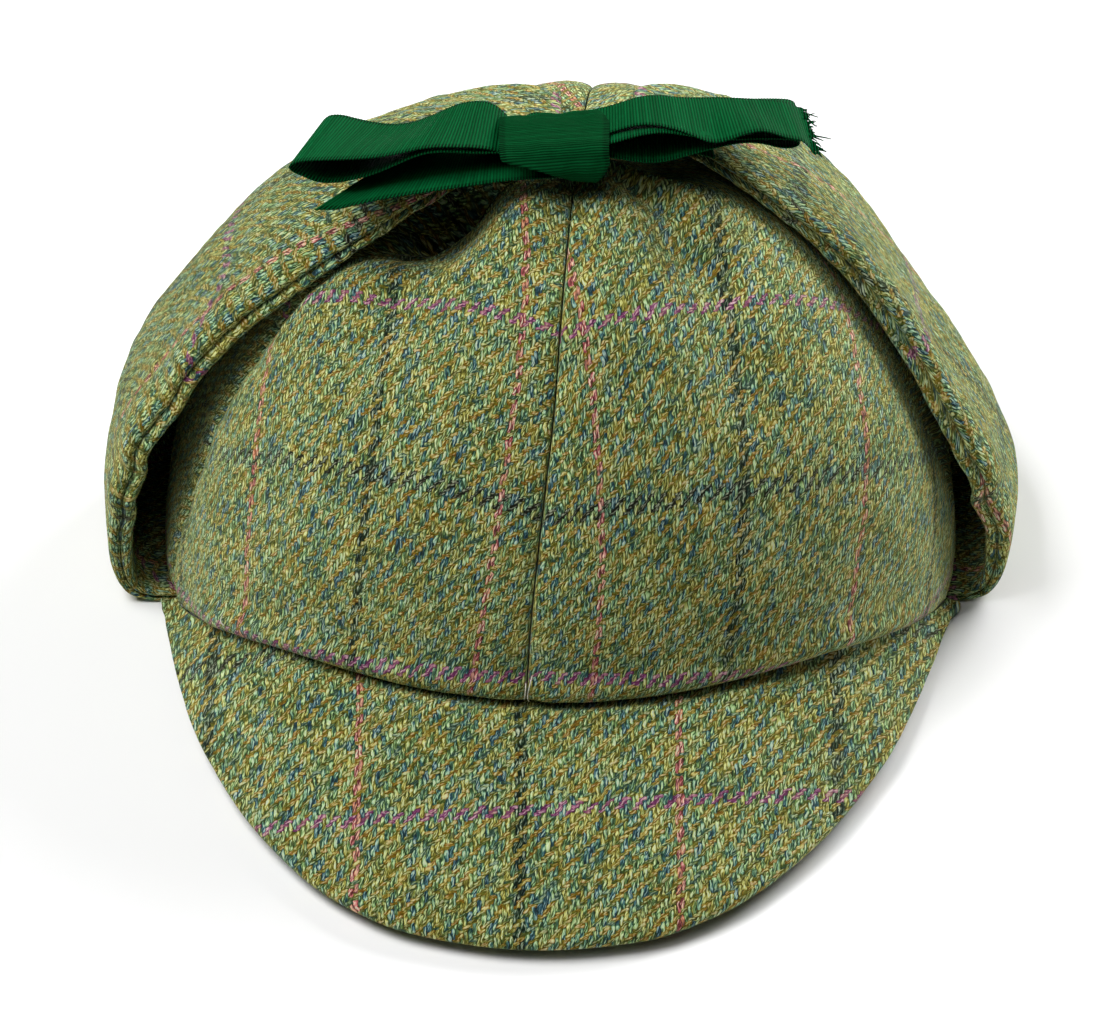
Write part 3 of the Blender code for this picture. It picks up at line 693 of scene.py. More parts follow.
def ribbon_material(name, lightness):
    """Green grosgrain: modelled ribs, with the fine warp that covers them; lightness below 1
    darkens it as painted shade.
    """
    n = Nodes(name)
    cloth = n.cloth()
    along, across = n.parts(cloth)[:2]
    at = n.mul(along, MM / RIB)
    # 1 on the back of a rib, 0 in the groove beside it
    ridge = n.absolute(n.sine(n.mul(at, math.pi)))
    thread = n.sine(n.mul(across, 2.0 * math.pi / 0.26))
    uneven = n.random(n.vector(n.floor(at), 1.0, 2.0))
    slub = n.noise(n.vector(n.mul(along, 1.6), n.mul(across, 0.35), 0.0), 1.0, 3.0, 0.6)
    fine = n.noise(cloth, 5.0, 2.0, 0.6)
    # looped selvedges: painted shade between the loops
    selvedge = n.mad(n.absolute(across), 2.0, -22.0, clamp=True)
    looped = n.mul(n.power(ridge, 3.0), 1.1)
    # painted shade in the grooves between the ribs and between the selvedge loops
    tone = n.mul(n.mad(ridge, 0.62, 0.30), n.blend(selvedge, 1.0, looped))
    for value, gain, base in (
            (slub, 0.7, 0.62), (uneven, 0.3, 0.85), (fine, 0.5 * lightness, 0.75 * lightness)):
        tone = n.mul(tone, n.mad(value, gain, base))
    return n.finish({
        "Base Color": n.ramp(tone, [
            (0.10, (0.0004, 0.011, 0.0028, 1.0)),
            (0.55, (0.0008, 0.053, 0.013, 1.0)),
            (1.0, (0.0016, 0.103, 0.028, 1.0))]),
        "Normal": n.bump(n.add(ridge, n.mad(fine, 0.5, n.mul(thread, 0.12))), 0.6, 0.12 * MM),
        "Roughness": n.mad(slub, 0.2, 0.5),
        "Specular IOR Level": 0.02,
        "Sheen Weight": 0.0,
    })


def thread_material():
    """Pale sewing thread."""
    n = Nodes("thread")
    twist = n.noise(n.cloth(), 6.0, 2.0, 0.5)
    colour = n.ramp(twist, [(0.3, srgb(176, 172, 150)), (0.7, srgb(232, 230, 216))])
    return n.finish({"Base Color": colour, "Roughness": 0.6})


TWEED = tweed_material()
RIBBON = ribbon_material("ribbon", 1.0)
# a darker copy of the same ribbon for the knot: painted shade
RIBBON_PAINTED_SHADE = ribbon_material("ribbon_shaded", 0.72)
THREAD = thread_material()


# ---------------------------------------------------------------- crown

# Each panel's two seams, and its cut width (mm) and area (cm2).
PANELS = {
    "front_right": ("front", "front_right", 114, 108),
    "side_right": ("front_right", "back_right", 96, 92),
    "back_right": ("back_right", "back", 99, 94),
    "back_left": ("back", "back_left", 103, 98),
    "side_left": ("back_left", "front_left", 87, 84),
    "front_left": ("front_left", "front", 117, 112),
}
PANEL_LENGTH = 150.0 * MM
PANEL_RADIUS = 98.0 * MM        # the crown's, where a panel's points are spread
PANEL_TOP = 0.988               # rise where the panels end, round the middle of the top
PANEL_STEPS = (118, 92)         # up and across
GRAIN_UNIT = 50.0               # mm
GRAIN_HEIGHT = 65.0             # mm
# How each panel's cloth lies. u runs round from the panel's middle and v up from the grain
# height, in grain units; the numbers are mm on the cloth for 1, u, v, u*u, u*v, v*v.
GRAIN_ROWS = {
    "front_left": ((-45.9, 50.2, 17, 6.2, -5.4, 7.6), (42.5, -12.9, 50.3, 1.7, -0.3, 0.2)),
    "front_right": ((37.1, 52.1, -17.2, -4.5, -2, 0.2), (43.1, 8.5, 51.4, -1, -2.9, -1)),
    "side_left": ((22, 50, 0, 0, 0, 0), (60, 0, 50, 0, 0, 0)),
    "side_right": ((12, 50, 0, 0, 0, 0), (60, 0, 50, 0, 0, 0)),
    "back_left": ((28, 50, -9, 0, 0, 0), (43, 7, 50, 0, 0, 0)),
    "back_right": ((-40, 50, 9, 0, 0, 0), (43, -7, 50, 0, 0, 0)),
}
# Deeper folds in the cloth than the plain dome's.
# azimuth, rise 0-1, half-width in azimuth, half-width in rise, depth inwards (mm)
SCENE_DENT_ROWS = [
    (-72, 0.775, 16, 0.095, 16), (-80, 0.17, 18, 0.1, 2), (86, 0.26, 18, 0.18, 2.4),
    (-30, 0.84, 12, 0.08, -1.6), (50, 0.86, 10, 0.07, 3), (86, 0.9, 12, 0.07, 3.5),
    (26, 0.7, 9, 0.12, -1),
]
CLOTH_RADIUS = 101.0            # mm, the dome that the flat panels are wrapped on
FLUSH_SEAM = "front_right"      # pressed flat, with the check matched across it
MATCH_FROM, MATCH_TO = 76.0, 100.0      # degrees, where the next panel's own grain sets in
MATCH_RISE = 0.35


def panel_cloth(place, middle, grain):
    """Where points of the crown lie on the flat cloth, in mm."""
    ray = unit(place / MM - np.array([0.0, 0.0, CROWN_FOOT / MM]))
    turn = math.radians(middle)
    ahead = np.array([math.sin(turn), -math.cos(turn), 0.0])
    aside = np.array([math.cos(turn), math.sin(turn), 0.0])
    u = CLOTH_RADIUS * np.arcsin(np.clip(ray @ aside, -1.0, 1.0)) / GRAIN_UNIT
    v = (CLOTH_RADIUS * np.arctan2(ray[..., 2], ray @ ahead) - GRAIN_HEIGHT) / GRAIN_UNIT
    terms = stack(1.0, u, v, u * u, u * v, v * v)
    return stack(terms @ np.array(grain[0]), terms @ np.array(grain[1]))


def crown_detail(azimuth, rise, place):
    """How far the cloth stands out from the plain dome: puckers, hem roll and soft folds."""
    radius = np.hypot(place[..., 0], place[..., 1])
    up = place[..., 2] - edge_height(azimuth)
    raised = ease((edge_height(azimuth) - 9 * MM) / (12 * MM))
    roll = HEM_ROLL * raised * hump(up - HEM_ROLL_HEIGHT, 3.4 * MM)
    flush = np.radians(np.abs(wrap_degrees(azimuth - SEAMS[FLUSH_SEAM]))) * radius
    near = seam_distance(azimuth, radius)
    near = near + 60 * MM * (near > flush - 1e-9)
    pressed = SEAM_DEPTH * hump(flush, SEAM_WIDTH) * np.clip(radius / (12 * MM), 0.0, 1.0)
    nearest = np.argmin([np.abs(wrap_degrees(azimuth - s)) for s in SEAMS.values()], axis=0)
    height = place[..., 2] / MM
    pucker = np.sin(height * 0.95 + nearest * 2.1) + 0.7 * np.sin(height * 0.53 + nearest * 4.0)
    pucker = pucker * 0.16 * MM * hump(near - 3.0 * MM, 4.0 * MM) * ease(radius / (30 * MM))
    around = np.radians(azimuth) * 95.0
    swell = 0.35 * MM * waves(around, height, 11, 42.0)
    swell = swell + 0.12 * MM * waves(around, height, 12, 12.0)
    dents = np.zeros(place.shape[:-1])
    for turn, middle, wide, tall, depth in SCENE_DENT_ROWS:
        off = wrap_degrees(azimuth - turn)
        dents = dents + depth * MM * hump(off, wide) * hump(rise - middle, tall)
    return roll + pucker + pressed + swell * ease(radius / (25 * MM)) - dents


def crown_surface(azimuth, rise):
    """The finished outer surface of the crown and its normals."""
    place = dome_point(azimuth, rise)
    side = dome_point(azimuth + 0.05, rise) - dome_point(azimuth - 0.05, rise)
    fine = dome_point(azimuth, rise + 2e-3) - dome_point(azimuth, rise - 2e-3 * (rise > 2e-3))
    normal = facing(unit(np.cross(side, fine)), place - [0.0, 0.0, 20 * MM])
    return place + normal * crown_detail(azimuth, rise, place)[..., None], normal


def crown_panel(key):
    """One sewn panel, rolled down at its seams and turned under at its lower edge."""
    first_seam, second_seam = PANELS[key][:2]
    start, stop = SEAMS[first_seam], SEAMS[second_seam]
    if stop < start:
        stop += 360.0
    middle = (start + stop) / 2.0
    up, deep_up, up_flat, _ = bordered(PANEL_LENGTH, PANEL_STEPS[0], HEM_ROUND, 1, 0, 1.0 * MM)
    rise = PANEL_TOP * up[0] / PANEL_LENGTH
    rise_flat = np.clip(PANEL_TOP * up_flat[0] / PANEL_LENGTH, 0.0, 1.0)
    shrink = np.cos(rise * math.pi / 2.0)
    width = np.radians(stop - start) * PANEL_RADIUS * shrink - 2.0 * PANEL_GAP
    width = np.maximum(width, 0.8 * MM)
    first = int(first_seam != FLUSH_SEAM)
    last = int(second_seam != FLUSH_SEAM)
    across, deep_across, across_flat, _ = bordered(
        width, PANEL_STEPS[1], SEAM_ROUND, first, last, 1.0 * MM)
    trim = np.degrees(PANEL_GAP / (PANEL_RADIUS * shrink + 0.5 * MM))[:, None]
    span = stop - start - (first + last) * trim
    place, normal = crown_surface(
        start + first * trim + span * across / width[:, None], rise[:, None])
    depth = together(deep_up, deep_across)
    radius = np.hypot(place[..., :1], place[..., 1:2])
    thick = CROWN_WALL * np.clip(radius / (9 * MM), 0.3, 1.0)
    azimuth_flat = start + first * trim + span * across_flat / width[:, None]
    flat = dome_point(azimuth_flat, rise_flat[:, None])
    own = (middle, GRAIN_ROWS[key])
    cloth = panel_cloth(flat, *own)
    if first_seam == FLUSH_SEAM:
        grain = ((SEAMS["front"] + SEAMS[FLUSH_SEAM]) / 2.0, GRAIN_ROWS["front_right"])
        meet = dome_point((MATCH_FROM + MATCH_TO) / 2.0, MATCH_RISE)
        cloth = cloth + panel_cloth(meet, *grain) - panel_cloth(meet, *own)
        share = ease((azimuth_flat - MATCH_FROM) / (MATCH_TO - MATCH_FROM))[..., None]
        cloth = cloth * share + panel_cloth(flat, *grain) * (1.0 - share)
    return wall("tweed_panel_" + key, *faces_of(place, normal, thick, depth), depth, cloth, TWEED)


# ---------------------------------------------------------------- peaks

PEAK_LENGTH = 60 * MM
PEAK_STEPS = (250, 74)          # round and outwards
PEAK_TUCK = 1.5 * MM            # how far the seam edge runs in under the crown's rolled hem


def peak(end):
    """A peak: cloth turned smoothly over a stiff board."""
    middle, span = PEAKS[end]
    wide = np.radians(2.0 * span) * 100 * MM
    half = PEAK_THICK / 2.0
    around, deep_around, around_flat, _ = bordered(wide, PEAK_STEPS[0], 2.0 * MM, 1, 1, half)
    out, deep_out, out_flat, _ = bordered(
        PEAK_LENGTH, PEAK_STEPS[1], PEAK_EDGE_ROUND, 0, 1, half)

    def top(around_at, out_at):
        """The board's upper surface."""
        azimuth = (middle - span + 2.0 * span * around_at / wide)[:, None]
        share = (out_at / PEAK_LENGTH)[None, :]
        turn = np.abs(azimuth - middle - PEAK_TURN)
        seam = dome_point(azimuth, np.zeros_like(azimuth))
        seam_radius = np.hypot(seam[..., 0], seam[..., 1]) + PEAK_CROWN_GAP + 0.4 * MM
        seam_height = edge_height(azimuth) + 1.0 * MM
        rim_radius = lookup(PEAK_ROWS, 1, turn) * MM
        rim_height = lookup(PEAK_ROWS, 2, turn) * MM
        inner_radius = seam_radius - PEAK_TUCK
        radius = inner_radius + (rim_radius - inner_radius) * share
        arch = PEAK_BULGE * np.clip((rim_radius - seam_radius) / (50 * MM), 0.0, 1.0)
        height = seam_height + (rim_height - seam_height) * share
        height = height + arch * np.sin(math.pi * np.clip(share, 0.0, 1.0) ** 0.9)
        height = height - PEAK_TUCK * hump(np.maximum(radius - seam_radius, 0.0), 1.8 * MM)
        direction = np.radians(azimuth)
        return stack(radius * np.sin(direction), -radius * np.cos(direction), height)

    a, b, step = around[0], out[0], 0.2 * MM
    place = top(a, b)
    normal = unit(np.cross(
        top(a + step, b) - top(a - step, b), top(a, b + step) - top(a, b - step)))
    normal *= np.sign(normal[..., 2:3])
    x, y = place[..., 0] / MM, place[..., 1] / MM
    swell = 0.22 * MM * waves(x, y, 21, 45.0) + 0.07 * MM * waves(x, y, 22, 11.0)
    place = place + normal * (swell * ease(b / PEAK_LENGTH * 8.0))[..., None]
    depth = together(deep_around, deep_out)
    outside, inside = faces_of(place, normal, PEAK_THICK, depth)
    inside[..., 2] = np.maximum(inside[..., 2], 0.5 * MM)
    flat = top(around_flat[0], out_flat[0]) / MM
    turned = -1.0 if end == "back" else 1.0
    x, y, z = turned * flat[..., 0], turned * flat[..., 1], flat[..., 2]
    cloth = stack(
        (x - 24.9) * 1.004,
        0.842 * y + 0.542 * z + 95.2 - 0.073 * x - 0.00112 * x * x)
    return wall("tweed_" + end + "_peak", outside, inside, depth, cloth, TWEED)


# ---------------------------------------------------------------- ear flaps

# Where the check lies on each flap (mm): the pink line's place along Y, the purple line's
# distance up from the first upright row, how the two lean, and how the purple one sags
FLAP_CLOTH = {
    "left": (-14.0, 67.0, 0.0, 0.0, 0.025),
    "right": (11.0, 50.5, 0.316, 0.13, 0.0),
}
# Uneven edges: place up the flap (degrees), half-width (degrees), how far the edge
# moves along Y, how far it moves off the crown (mm)
FLAP_EDGE_ROWS = {
    "left": [
        (11, 3, 1, -0.8), (15, 3, -1, 0.8), (19.5, 3, 1, -0.8), (24, 3.5, -0.8, 0.7),
        (30, 4, 0.9, -0.7), (37, 5, -0.6, 0.6), (52, 7, 0.8, -0.5),
    ],
    "right": [
        (10, 3, -0.9, 0.7), (14, 3, 1.2, -1), (19, 3.5, -0.9, 0.7), (26, 4, 0.6, -0.5),
        (36, 5, -0.6, 0.5), (50, 7, -0.6, 0.6),
    ],
}
FLAP_FOOT = 9.0                 # degrees up the side, where the fold ends
FOLD_STEPS = 30
FLAP_STEPS = (132, 84)          # up and across
FLAP_SEEDS = {"left": 31, "right": 41}


def flap_rows(side):
    """Places up a flap: along the fold (0-1), degrees up the side, depth, flat degrees."""
    long = (FLAP_OUTLINE[side][-1][0] - FLAP_FOOT) * FLAP_DEGREE
    tip, deep, flat, _ = bordered(
        long, FLAP_STEPS[0], FLAP_EDGE_ROUND, 0, 2, FLAP_WALL_TOP / 2.0)
    fold = np.linspace(0.0, 1.0, FOLD_STEPS + 1)[:-1]
    return (
        np.concatenate([fold, np.ones(len(deep))]),
        np.concatenate([FLAP_FOOT * fold, FLAP_FOOT + tip[0] / FLAP_DEGREE]),
        np.concatenate([0.0 * fold, deep]),
        np.concatenate([FLAP_FOOT * fold, FLAP_FOOT + flat[0] / FLAP_DEGREE]))


def ear_flap(side):
    """Two layers of tweed, folded up from under the crown's edge."""
    sign = 1.0 if side == "right" else -1.0
    fold, lift, deep_up, lift_flat = flap_rows(side)
    front, back = flap_edges(side, lift)
    across, deep_across, across_flat, bend = bordered(
        back - front, FLAP_STEPS[1], FLAP_EDGE_ROUND, 2, 2, FLAP_WALL_LOW / 2.0)
    width = (back - front)[:, None]
    share = -1.0 + 2.0 * across / width
    along = front[:, None] + across
    lift = lift[:, None]
    fold = fold[:, None]

    def surface(lift, fold, share, along):
        """The flap's outer surface, on the +X side."""
        x, z = flap_section(side, np.maximum(lift, FLAP_FOOT), share, along)
        x = x * path(FOLD_ROWS, 0, fold)
        z = z * path(FOLD_ROWS, 1, fold)
        return stack(x + sign * lean_at(z), along, z)

    place = surface(lift, fold, share, along)
    step = 0.004
    shift = step * (width / 2.0)
    aside = (surface(lift, fold, share + step, along + shift)
             - surface(lift, fold, share - step, along - shift))
    upper = lift > FLAP_FOOT + 1e-6
    over = (surface(lift + 0.05, np.minimum(fold + step, 1.0), share, along)
            - surface(lift - np.where(upper, 0.05, 0.0),
                      np.where(upper, fold, np.maximum(fold - step, 0.0)), share, along))
    normal = facing(unit(np.cross(aside, over)), place - [60 * MM, 0.0, 35 * MM])
    # soft swells over the whole flap, and uneven edges
    upright = ease((lift - 6.0) / 10.0)
    steps = np.linalg.norm(np.diff(place[:, place.shape[1] // 2], axis=0), axis=-1)
    length = np.concatenate([[0.0], np.cumsum(steps)])
    climbed = np.maximum.accumulate(lift[:, 0])
    length = (length - np.interp(FLAP_FOOT, climbed, length)) / MM
    seed = FLAP_SEEDS[side]
    swell = 0.5 * MM * waves(along / MM, length[:, None], seed, 38.0)
    swell = swell + 0.14 * MM * waves(along / MM, length[:, None], seed + 1, 11.0)
    edge = np.minimum(across, width - across)
    near_edge = hump(edge, 9.0 * MM)
    shift = np.zeros(place.shape[:-1])
    for middle, wide, sideways, outward in FLAP_EDGE_ROWS[side]:
        bump = hump(lift - middle, wide) * near_edge * np.where(share < 0.0, 1.0, -0.7)
        shift = shift + sideways * MM * bump
        swell = swell + outward * MM * np.abs(bump)
    place = place + normal * (swell * upright)[..., None]
    place[..., 1] += shift * upright
    curl = FLAP_CURL * hump(edge, 4.0 * MM) * upright * (1.0 - ease((lift - 55.0) / 25.0))
    place = place - normal * curl[..., None]
    thick = FLAP_WALL_LOW + (FLAP_WALL_TOP - FLAP_WALL_LOW) * ease((lift - 38.0) / 36.0)
    thick = FLAP_WALL_FOOT + (thick - FLAP_WALL_FOOT) * ease(fold * 1.2 - 0.2)
    thick = thick + 0.5 * MM * hump(edge, 5.0 * MM) * upright * (1.0 - ease((lift - 50.0) / 18.0))
    depth = together(deep_up, deep_across)
    outside, inside = faces_of(place, normal, thick[..., None], depth)
    # the lining's turned edge is looser than the outer one
    loose = 0.9 * MM * waves(length[:, None], share * 3.0, seed + 2, 15.0) + 1.1 * MM
    inside[..., 1] += loose * bend[None, :] * upright
    for face in (outside, inside):
        face[..., 2] = np.maximum(face[..., 2], 0.0)
        face[..., 0] *= sign
    pink, purple, lean_up, lean_along, sag = FLAP_CLOTH[side]
    y = (front[:, None] + across_flat) / MM
    past = (lift_flat - np.minimum(lift_flat, FLAP_OUTLINE[side][-1][0])) * FLAP_DEGREE / MM
    s = (np.interp(lift_flat, climbed, length) + past)[:, None]
    cloth = stack(
        sign * (y - pink - lean_up * (104.0 - s)),
        s - purple + lean_along * y + sag * np.minimum(y, 0.0) ** 2)
    return wall("tweed_flap_" + side, outside, inside, depth, cloth, TWEED)


# ---------------------------------------------------------------- ribbon

RIBBON_WIDTH = 25.0 * MM
SELVEDGE_BULGE = 0.16 * MM      # how far the loops stand out at a ribbon's edges
ACROSS = 18                     # steps across a ribbon
ALONG = 5                       # steps along it for each rib


def rib_steps(rows, columns, fine):
    """Places along the rows, a few for each rib, and the distance there."""
    rough = np.linspace(0.0, 1.0, fine)
    middle = stack(*(path(rows, k, rough) for k in range(columns))) * MM
    length = np.linalg.norm(np.diff(middle, axis=0), axis=-1)
    length = np.concatenate([[0.0], np.cumsum(length)])
    wanted = np.linspace(0.0, length[-1], int(round(length[-1] / RIB)) * ALONG + 1)
    return np.interp(wanted, length, rough), wanted


def ribbed(name, grid, normal, distance, material, closed=False):
    """A grosgrain ribbon round a middle surface: ribs on both faces, looped selvedges."""
    phase = np.abs(np.sin(math.pi * distance / RIB))[:, None]
    rib = 0.5 * RIBBON_WALL * (0.52 + 0.48 * phase ** 0.8)
    rows, columns = grid.shape[:2]
    share = np.linspace(-1.0, 1.0, columns)[None, :]
    side = unit(grid[:, -1:] - grid[:, :1])
    bulge = SELVEDGE_BULGE * phase * np.sign(share) * ease((np.abs(share) - 0.93) / 0.07)
    grid = grid + side * bulge[..., None]
    taper = np.sqrt(np.clip(1.0 - ease((np.abs(share) - 0.985) / 0.015) * 0.75, 0.0, 1.0))
    offset = normal * (rib * taper)[..., None]
    cloth = stack(distance[:, None] / MM, RIBBON_WIDTH * np.linspace(-0.5, 0.5, columns) / MM)
    if not closed:
        return wall(name, grid + offset, grid - offset, 0.0, cloth, material)
    count = rows * columns
    corner = np.arange(count).reshape(rows, columns)
    after = np.roll(corner, -1, axis=0)
    front = stack(corner[:, :-1], after[:, :-1], after[:, 1:], corner[:, 1:]).reshape(-1, 4)
    rims = [stack(corner[:, k], corner[:, k] + count, after[:, k] + count, after[:, k])
            for k in (0, -1)]
    faces = np.concatenate([front, front[:, ::-1] + count, rims[0], rims[1][:, ::-1]])
    points = np.concatenate([(grid + offset).reshape(-1, 3), (grid - offset).reshape(-1, 3)])
    return build(name, points, faces, np.concatenate([cloth.reshape(-1, 2)] * 2), material)


def ribbon_grid(part, u, share):
    """Points of a ribbon's middle surface and its direction across."""
    x, y, z, width, lift, shift = (path(RIBBON_ROWS[part], k, u) * MM for k in range(6))
    sideways = stack(shift, np.sqrt(width ** 2 - lift ** 2), lift)
    grid = stack(x, y, z)[:, None] + sideways[:, None] * share[None, :, None]
    for place, wide, edge, height in WAVE_ROWS[part]:
        grid[..., 2] += height * MM * hump(u - place, wide)[:, None] * ease(0.5 + edge * share)
    return grid, sideways


def ribbon(part):
    """A length of ribbon along its rows, with its edges bent up and down."""
    u, distance = rib_steps(RIBBON_ROWS[part], 3, 400)
    grid, sideways = ribbon_grid(part, u, np.linspace(-0.5, 0.5, ACROSS + 1))
    tangent = unit(np.gradient(grid[:, ACROSS // 2], axis=0))
    normal = unit(np.cross(tangent, sideways))[:, None]
    return ribbed("ribbon_" + part, grid, normal, distance, RIBBON)


def tie(side):
    """The ribbon from a flap's tip into the bow, lying on the flap."""
    u, distance = rib_steps(TIE_ROWS[side], 2, 300)
    x, y, width = (path(TIE_ROWS[side], k, u)[:, None] * MM for k in range(3))
    tangent = unit(np.gradient(np.concatenate([x, y], axis=1), axis=0))
    share = np.linspace(-0.5, 0.5, ACROSS + 1)
    grid_x = x - tangent[:, 1:] * width * share
    grid_y = y + tangent[:, :1] * width * share
    lying = flap_height(side, grid_x, grid_y) + TIE_CLEARANCE
    hold = ease((np.abs(x - KNOT_CENTRE_X) / MM - 10.0) / 8.0)
    grid = stack(grid_x, grid_y, TIE_KNOT_HEIGHT + (lying - TIE_KNOT_HEIGHT) * hold)
    normal = unit(np.cross(np.gradient(grid, axis=0), np.gradient(grid, axis=1)))
    return ribbed("ribbon_tie_" + side, grid, normal, distance, RIBBON)


def bow_knot():
    """The ribbon wrapped round the middle of the bow."""
    closed = KNOT_ROWS + [KNOT_ROWS[0]]
    u, distance = (values[:-1] for values in rib_steps(closed, 2, 600))
    y, z, half_width, shift = (path(closed, k, u) * MM for k in range(4))
    share = np.linspace(-1.0, 1.0, ACROSS + 1)
    x = (KNOT_CENTRE_X + shift)[:, None] + half_width[:, None] * share
    # smooth turn of the normal round the wrap
    dy, dz = (sum(np.roll(v, -k) - np.roll(v, k) for k in range(1, 6)) for v in (y, z))
    normal = unit(stack(0.0, -dz, dy))
    normal *= np.sign(np.sum(normal * stack(0.0, y - y.mean(), z - z.mean()), axis=-1).mean())
    normal, y, z = normal[:, None], y[:, None], z[:, None]
    grid = stack(x, y, z)
    grid[..., 1] += KNOT_TURN * share * ease((z - 112 * MM) / (6 * MM))
    crease = waves(distance[:, None] / MM * 0.8, x / MM * 1.6 + 0.5 * y / MM, 51, 14.0)
    grid = grid - (0.5 * MM - KNOT_CREASE * crease)[..., None] * normal
    # the knot wears the darker ribbon copy, which is painted shade
    return ribbed("ribbon_knot", grid, normal, distance, RIBBON_PAINTED_SHADE, closed=True)


# ---------------------------------------------------------------- loose threads

# Stray sewing thread: azimuth and rise of each end (mm off the cloth at its middle)
STITCH_ROWS = [
    (-3.7, 0.05, -4.3, 0.022, 0.5), (-4.3, 0.024, -4, 0.002, 0.6),
    (-4.6, 0.04, -4.9, 0.006, 0.4), (-49.6, 0.02, -50.6, 0.034, 0.5),
]
STITCH_RADIUS = 0.16 * MM
FRAY_COUNT = 80
FRAY_LENGTH = 2.2 * MM
FRAY_ROOT = 0.5 * MM            # how far the loose threads start inside the ribbon


def strands(name, lines, radii, material):
    """Fine threads along lines of points, as one piece of thin closed tubes."""
    sides = 4
    turn = 2.0 * math.pi * np.arange(sides)[:, None] / sides
    points, faces, cloth = [], [], []
    for line, radius in zip(lines, radii):
        along = unit(np.gradient(line, axis=0))[:, None]
        aside = unit(np.cross(along, [0.31, 0.17, 0.93]))
        ring = np.cos(turn) * aside + np.sin(turn) * np.cross(along, aside)
        thin = radius * np.sqrt(np.linspace(1.0, 0.15, len(line)))
        tube = line[:, None] + ring * thin[:, None, None]
        start = len(points)
        last = start + (len(line) - 1) * sides
        points.extend(tube.reshape(-1, 3))
        for corner in range(start, last, sides):
            for j in range(sides):
                k = (j + 1) % sides
                faces.append((corner + j, corner + k, corner + sides + k, corner + sides + j))
        faces.append((start + 3, start + 2, start + 1, start))
        faces.append((last, last + 1, last + 2, last + 3))
        cloth.extend(tube[..., [0, 2]].reshape(-1, 2) / MM)
    return build(name, points, faces, cloth, material)


def frayed_end(name, part):
    """Loose ends of a ribbon's long threads where it is cut."""
    draw = np.random.default_rng(61)
    share = np.linspace(-0.5, 0.5, FRAY_COUNT)
    grid, _ = ribbon_grid(part, np.array([0.985, 1.0]), share)
    t = np.linspace(0.0, 1.0, 9)[:, None]
    lines, radii = [], []
    for end, outward, at in zip(grid[1], unit(grid[1] - grid[0]), share):
        corner = hump(at + 0.46, 0.10)
        reach = FRAY_LENGTH * (0.25 + 0.75 * draw.random() ** 2 + 0.25 * corner) + FRAY_ROOT
        bend = draw.normal(0.0, 0.45, 3) * [1.0, 1.0, 0.6] + [0.0, 0.0, -0.15]
        curl = draw.normal(0.0, 0.16, 3)
        bent = outward * t + bend * 0.8 * t ** 2 + curl * np.sin(5.0 * t)
        lines.append(end - outward * FRAY_ROOT + reach * bent)
        radii.append(draw.uniform(0.20, 0.36) * MM)
    return strands(name, lines, radii, RIBBON)


def stray_threads(name):
    """Short ends of pale sewing thread on the crown's lower edge."""
    t = np.linspace(0.0, 1.0, 7)
    lines = []
    for turn_a, rise_a, turn_b, rise_b, high in STITCH_ROWS:
        place, normal = crown_surface(
            turn_a + (turn_b - turn_a) * t, rise_a + (rise_b - rise_a) * t)
        lines.append(place + normal * (0.15 + high * np.sin(math.pi * t))[:, None] * MM)
    return strands(name, lines, [STITCH_RADIUS] * len(lines), THREAD)


# ---------------------------------------------------------------- the pieces

made = {}
for key in PANELS:
    made["crown_panel_" + key] = crown_panel(key)
for end in PEAKS:
    made[end + "_peak"] = peak(end)
for side in ("left", "right"):
    made["ear_flap_" + side] = ear_flap(side)
for side in ("left", "right"):
    made["tie_" + side] = tie(side)
for part in RIBBON_ROWS:
    made["bow_" + part] = ribbon(part)
made["bow_knot"] = bow_knot()
for node, piece in made.items():
    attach(piece, BODY)
    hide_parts(node)
frayed = frayed_end("ribbon_frayed_end", "tail_right")
stray = stray_threads("stray_threads")
for piece, slot in ((frayed, "ribbon"), (stray, "tweed")):
    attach(piece, BODY)
with_pieces = {"bow_tail_right": [frayed], "crown_panel_front_left": [stray]}

# The flat size that each piece of cloth is cut to: width and length (mm), area where
# the cut isn't a rectangle (cm2), how it is held, and what it lies on.
CUT_SIZES = {
    "crown_panel_" + key: (width, 150, area, "stretched", [])
    for key, (_, _, width, area) in PANELS.items()}
CUT_SIZES.update({
    "ear_flap_left": (82, 185, 125, "folded", ["crown_panel_side_left"]),
    "ear_flap_right": (82, 185, 125, "folded", ["crown_panel_side_right"]),
    "tie_left": (25, 34, None, "gathered", ["ear_flap_left"]),
    "tie_right": (25, 37, None, "gathered", ["ear_flap_right"]),
    "bow_tail_left": (25, 44, None, "gathered", ["ear_flap_left"]),
    "bow_loop_left": (25, 109, None, "folded", ["bow_tail_left"]),
    "bow_loop_right": (25, 107, None, "folded", ["ear_flap_right"]),
    "bow_tail_right": (25, 55, None, "gathered", ["bow_loop_right"]),
    "bow_knot": (25, 54, None, "gathered", ["bow_loop_left", "bow_loop_right"]),
})
for node, (width, length, area, held, rests_on) in CUT_SIZES.items():
    [made[n] for n in rests_on]
    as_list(with_pieces.get(node, []))

# ---------------------------------------------------------------- floor, light, camera

FLOOR_HALF = 3.0
FLOOR_DROP = 0.05 * MM          # under the hat's lowest points
LIGHT_SIZE = 0.8
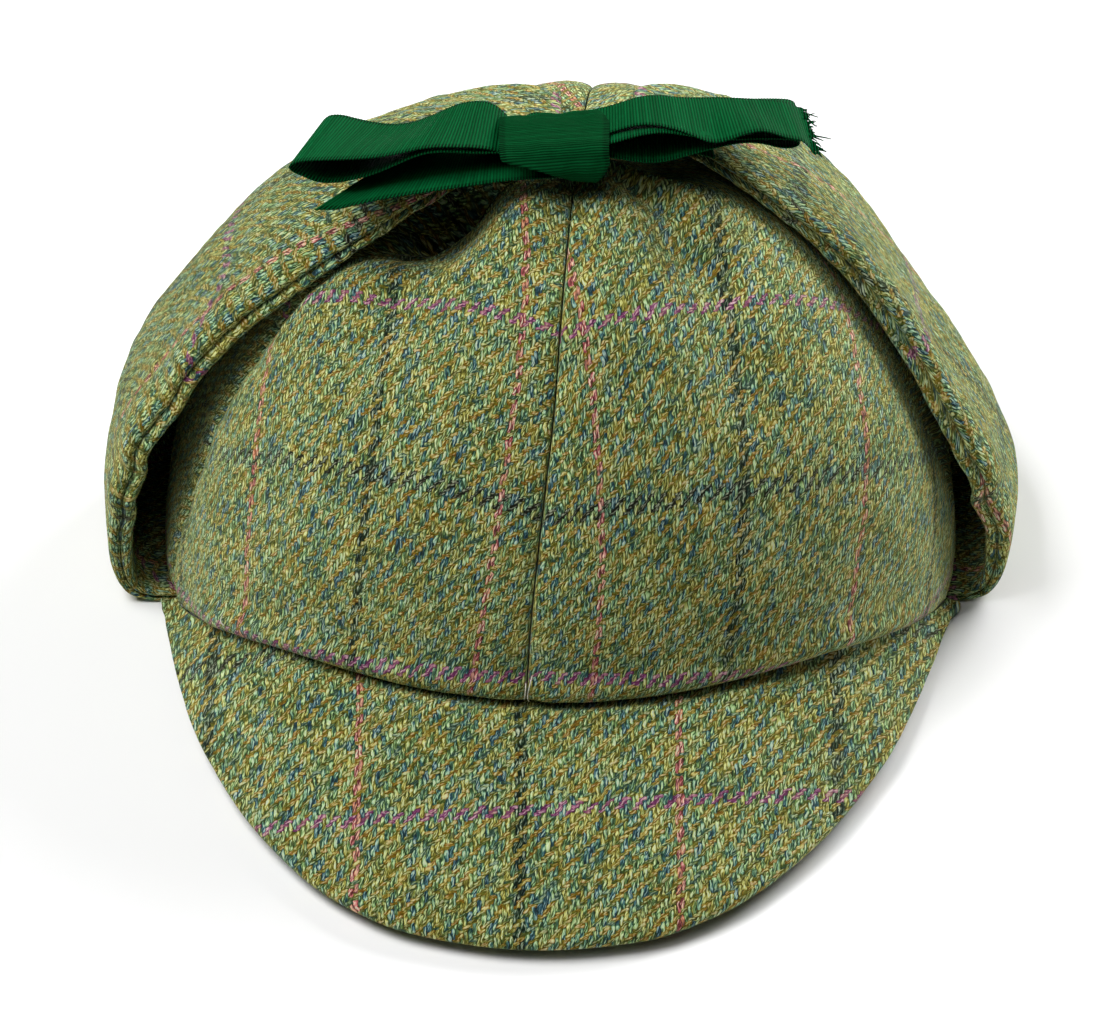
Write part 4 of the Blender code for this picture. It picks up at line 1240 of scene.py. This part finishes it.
# Square softboxes: place (m), power (W)
LIGHTS = {
    "top_left": ((-0.68, -0.10, 1.18), 18.8),
    "back_right": ((0.88, 0.80, 0.72), 22.2),
    "front_fill": ((-0.20, -0.62, 1.35), 2.6),
}
LIGHT_AIM = (0.0, 0.0, 0.05)
WORLD_STRENGTH = 0.03
PHOTO_WIDTH = 1120              # pixels
PHOTO_HEIGHT = 1010
CAMERA_DISTANCE = 1.10
CAMERA_ELEVATION = 37.0
CAMERA_LENS = 147.4             # mm
ORIGIN_AT = (561.0, 534.6)      # where the hat's origin lies in the photograph

mesh = bpy.data.meshes.new("floor")
mesh.from_pydata([(x * FLOOR_HALF, y * FLOOR_HALF, 0.0) for x, y in (
    (-1, -1), (1, -1), (1, 1), (-1, 1))], [], [(0, 1, 2, 3)])
mesh.materials.append(Nodes("floor_white").finish({
    "Base Color": (0.93, 0.93, 0.93, 1.0), "Roughness": 0.9}))
place_object("floor", mesh, (0.0, 0.0, -FLOOR_DROP))

for name, (place, power) in LIGHTS.items():
    light = bpy.data.lights.new(name, "AREA")
    light.shape = "SQUARE"
    light.size = LIGHT_SIZE
    light.energy = power
    lamp = place_object(name, light, place)
    aim = Vector([there - here for there, here in zip(LIGHT_AIM, place)])
    lamp.rotation_euler = aim.to_track_quat("-Z", "Y").to_euler()
world = bpy.data.worlds.new("studio")
world.use_nodes = True
background = world.node_tree.nodes["Background"]
background.inputs["Color"].default_value = (1.0, 1.0, 1.0, 1.0)
background.inputs["Strength"].default_value = WORLD_STRENGTH
scene.world = world
scene.view_settings.view_transform = "Standard"

camera_data = bpy.data.cameras.new("camera")
camera_data.sensor_width = 36.0
camera_data.lens = CAMERA_LENS
camera_data.shift_x = (PHOTO_WIDTH / 2 - ORIGIN_AT[0]) / PHOTO_WIDTH
camera_data.shift_y = (ORIGIN_AT[1] - PHOTO_HEIGHT / 2) / PHOTO_WIDTH
tilt = math.radians(CAMERA_ELEVATION)
camera = place_object("camera", camera_data, (
    0.0, -CAMERA_DISTANCE * math.cos(tilt), CAMERA_DISTANCE * math.sin(tilt)))
camera.rotation_euler = (math.pi / 2.0 - tilt, 0.0, 0.0)
scene.camera = camera
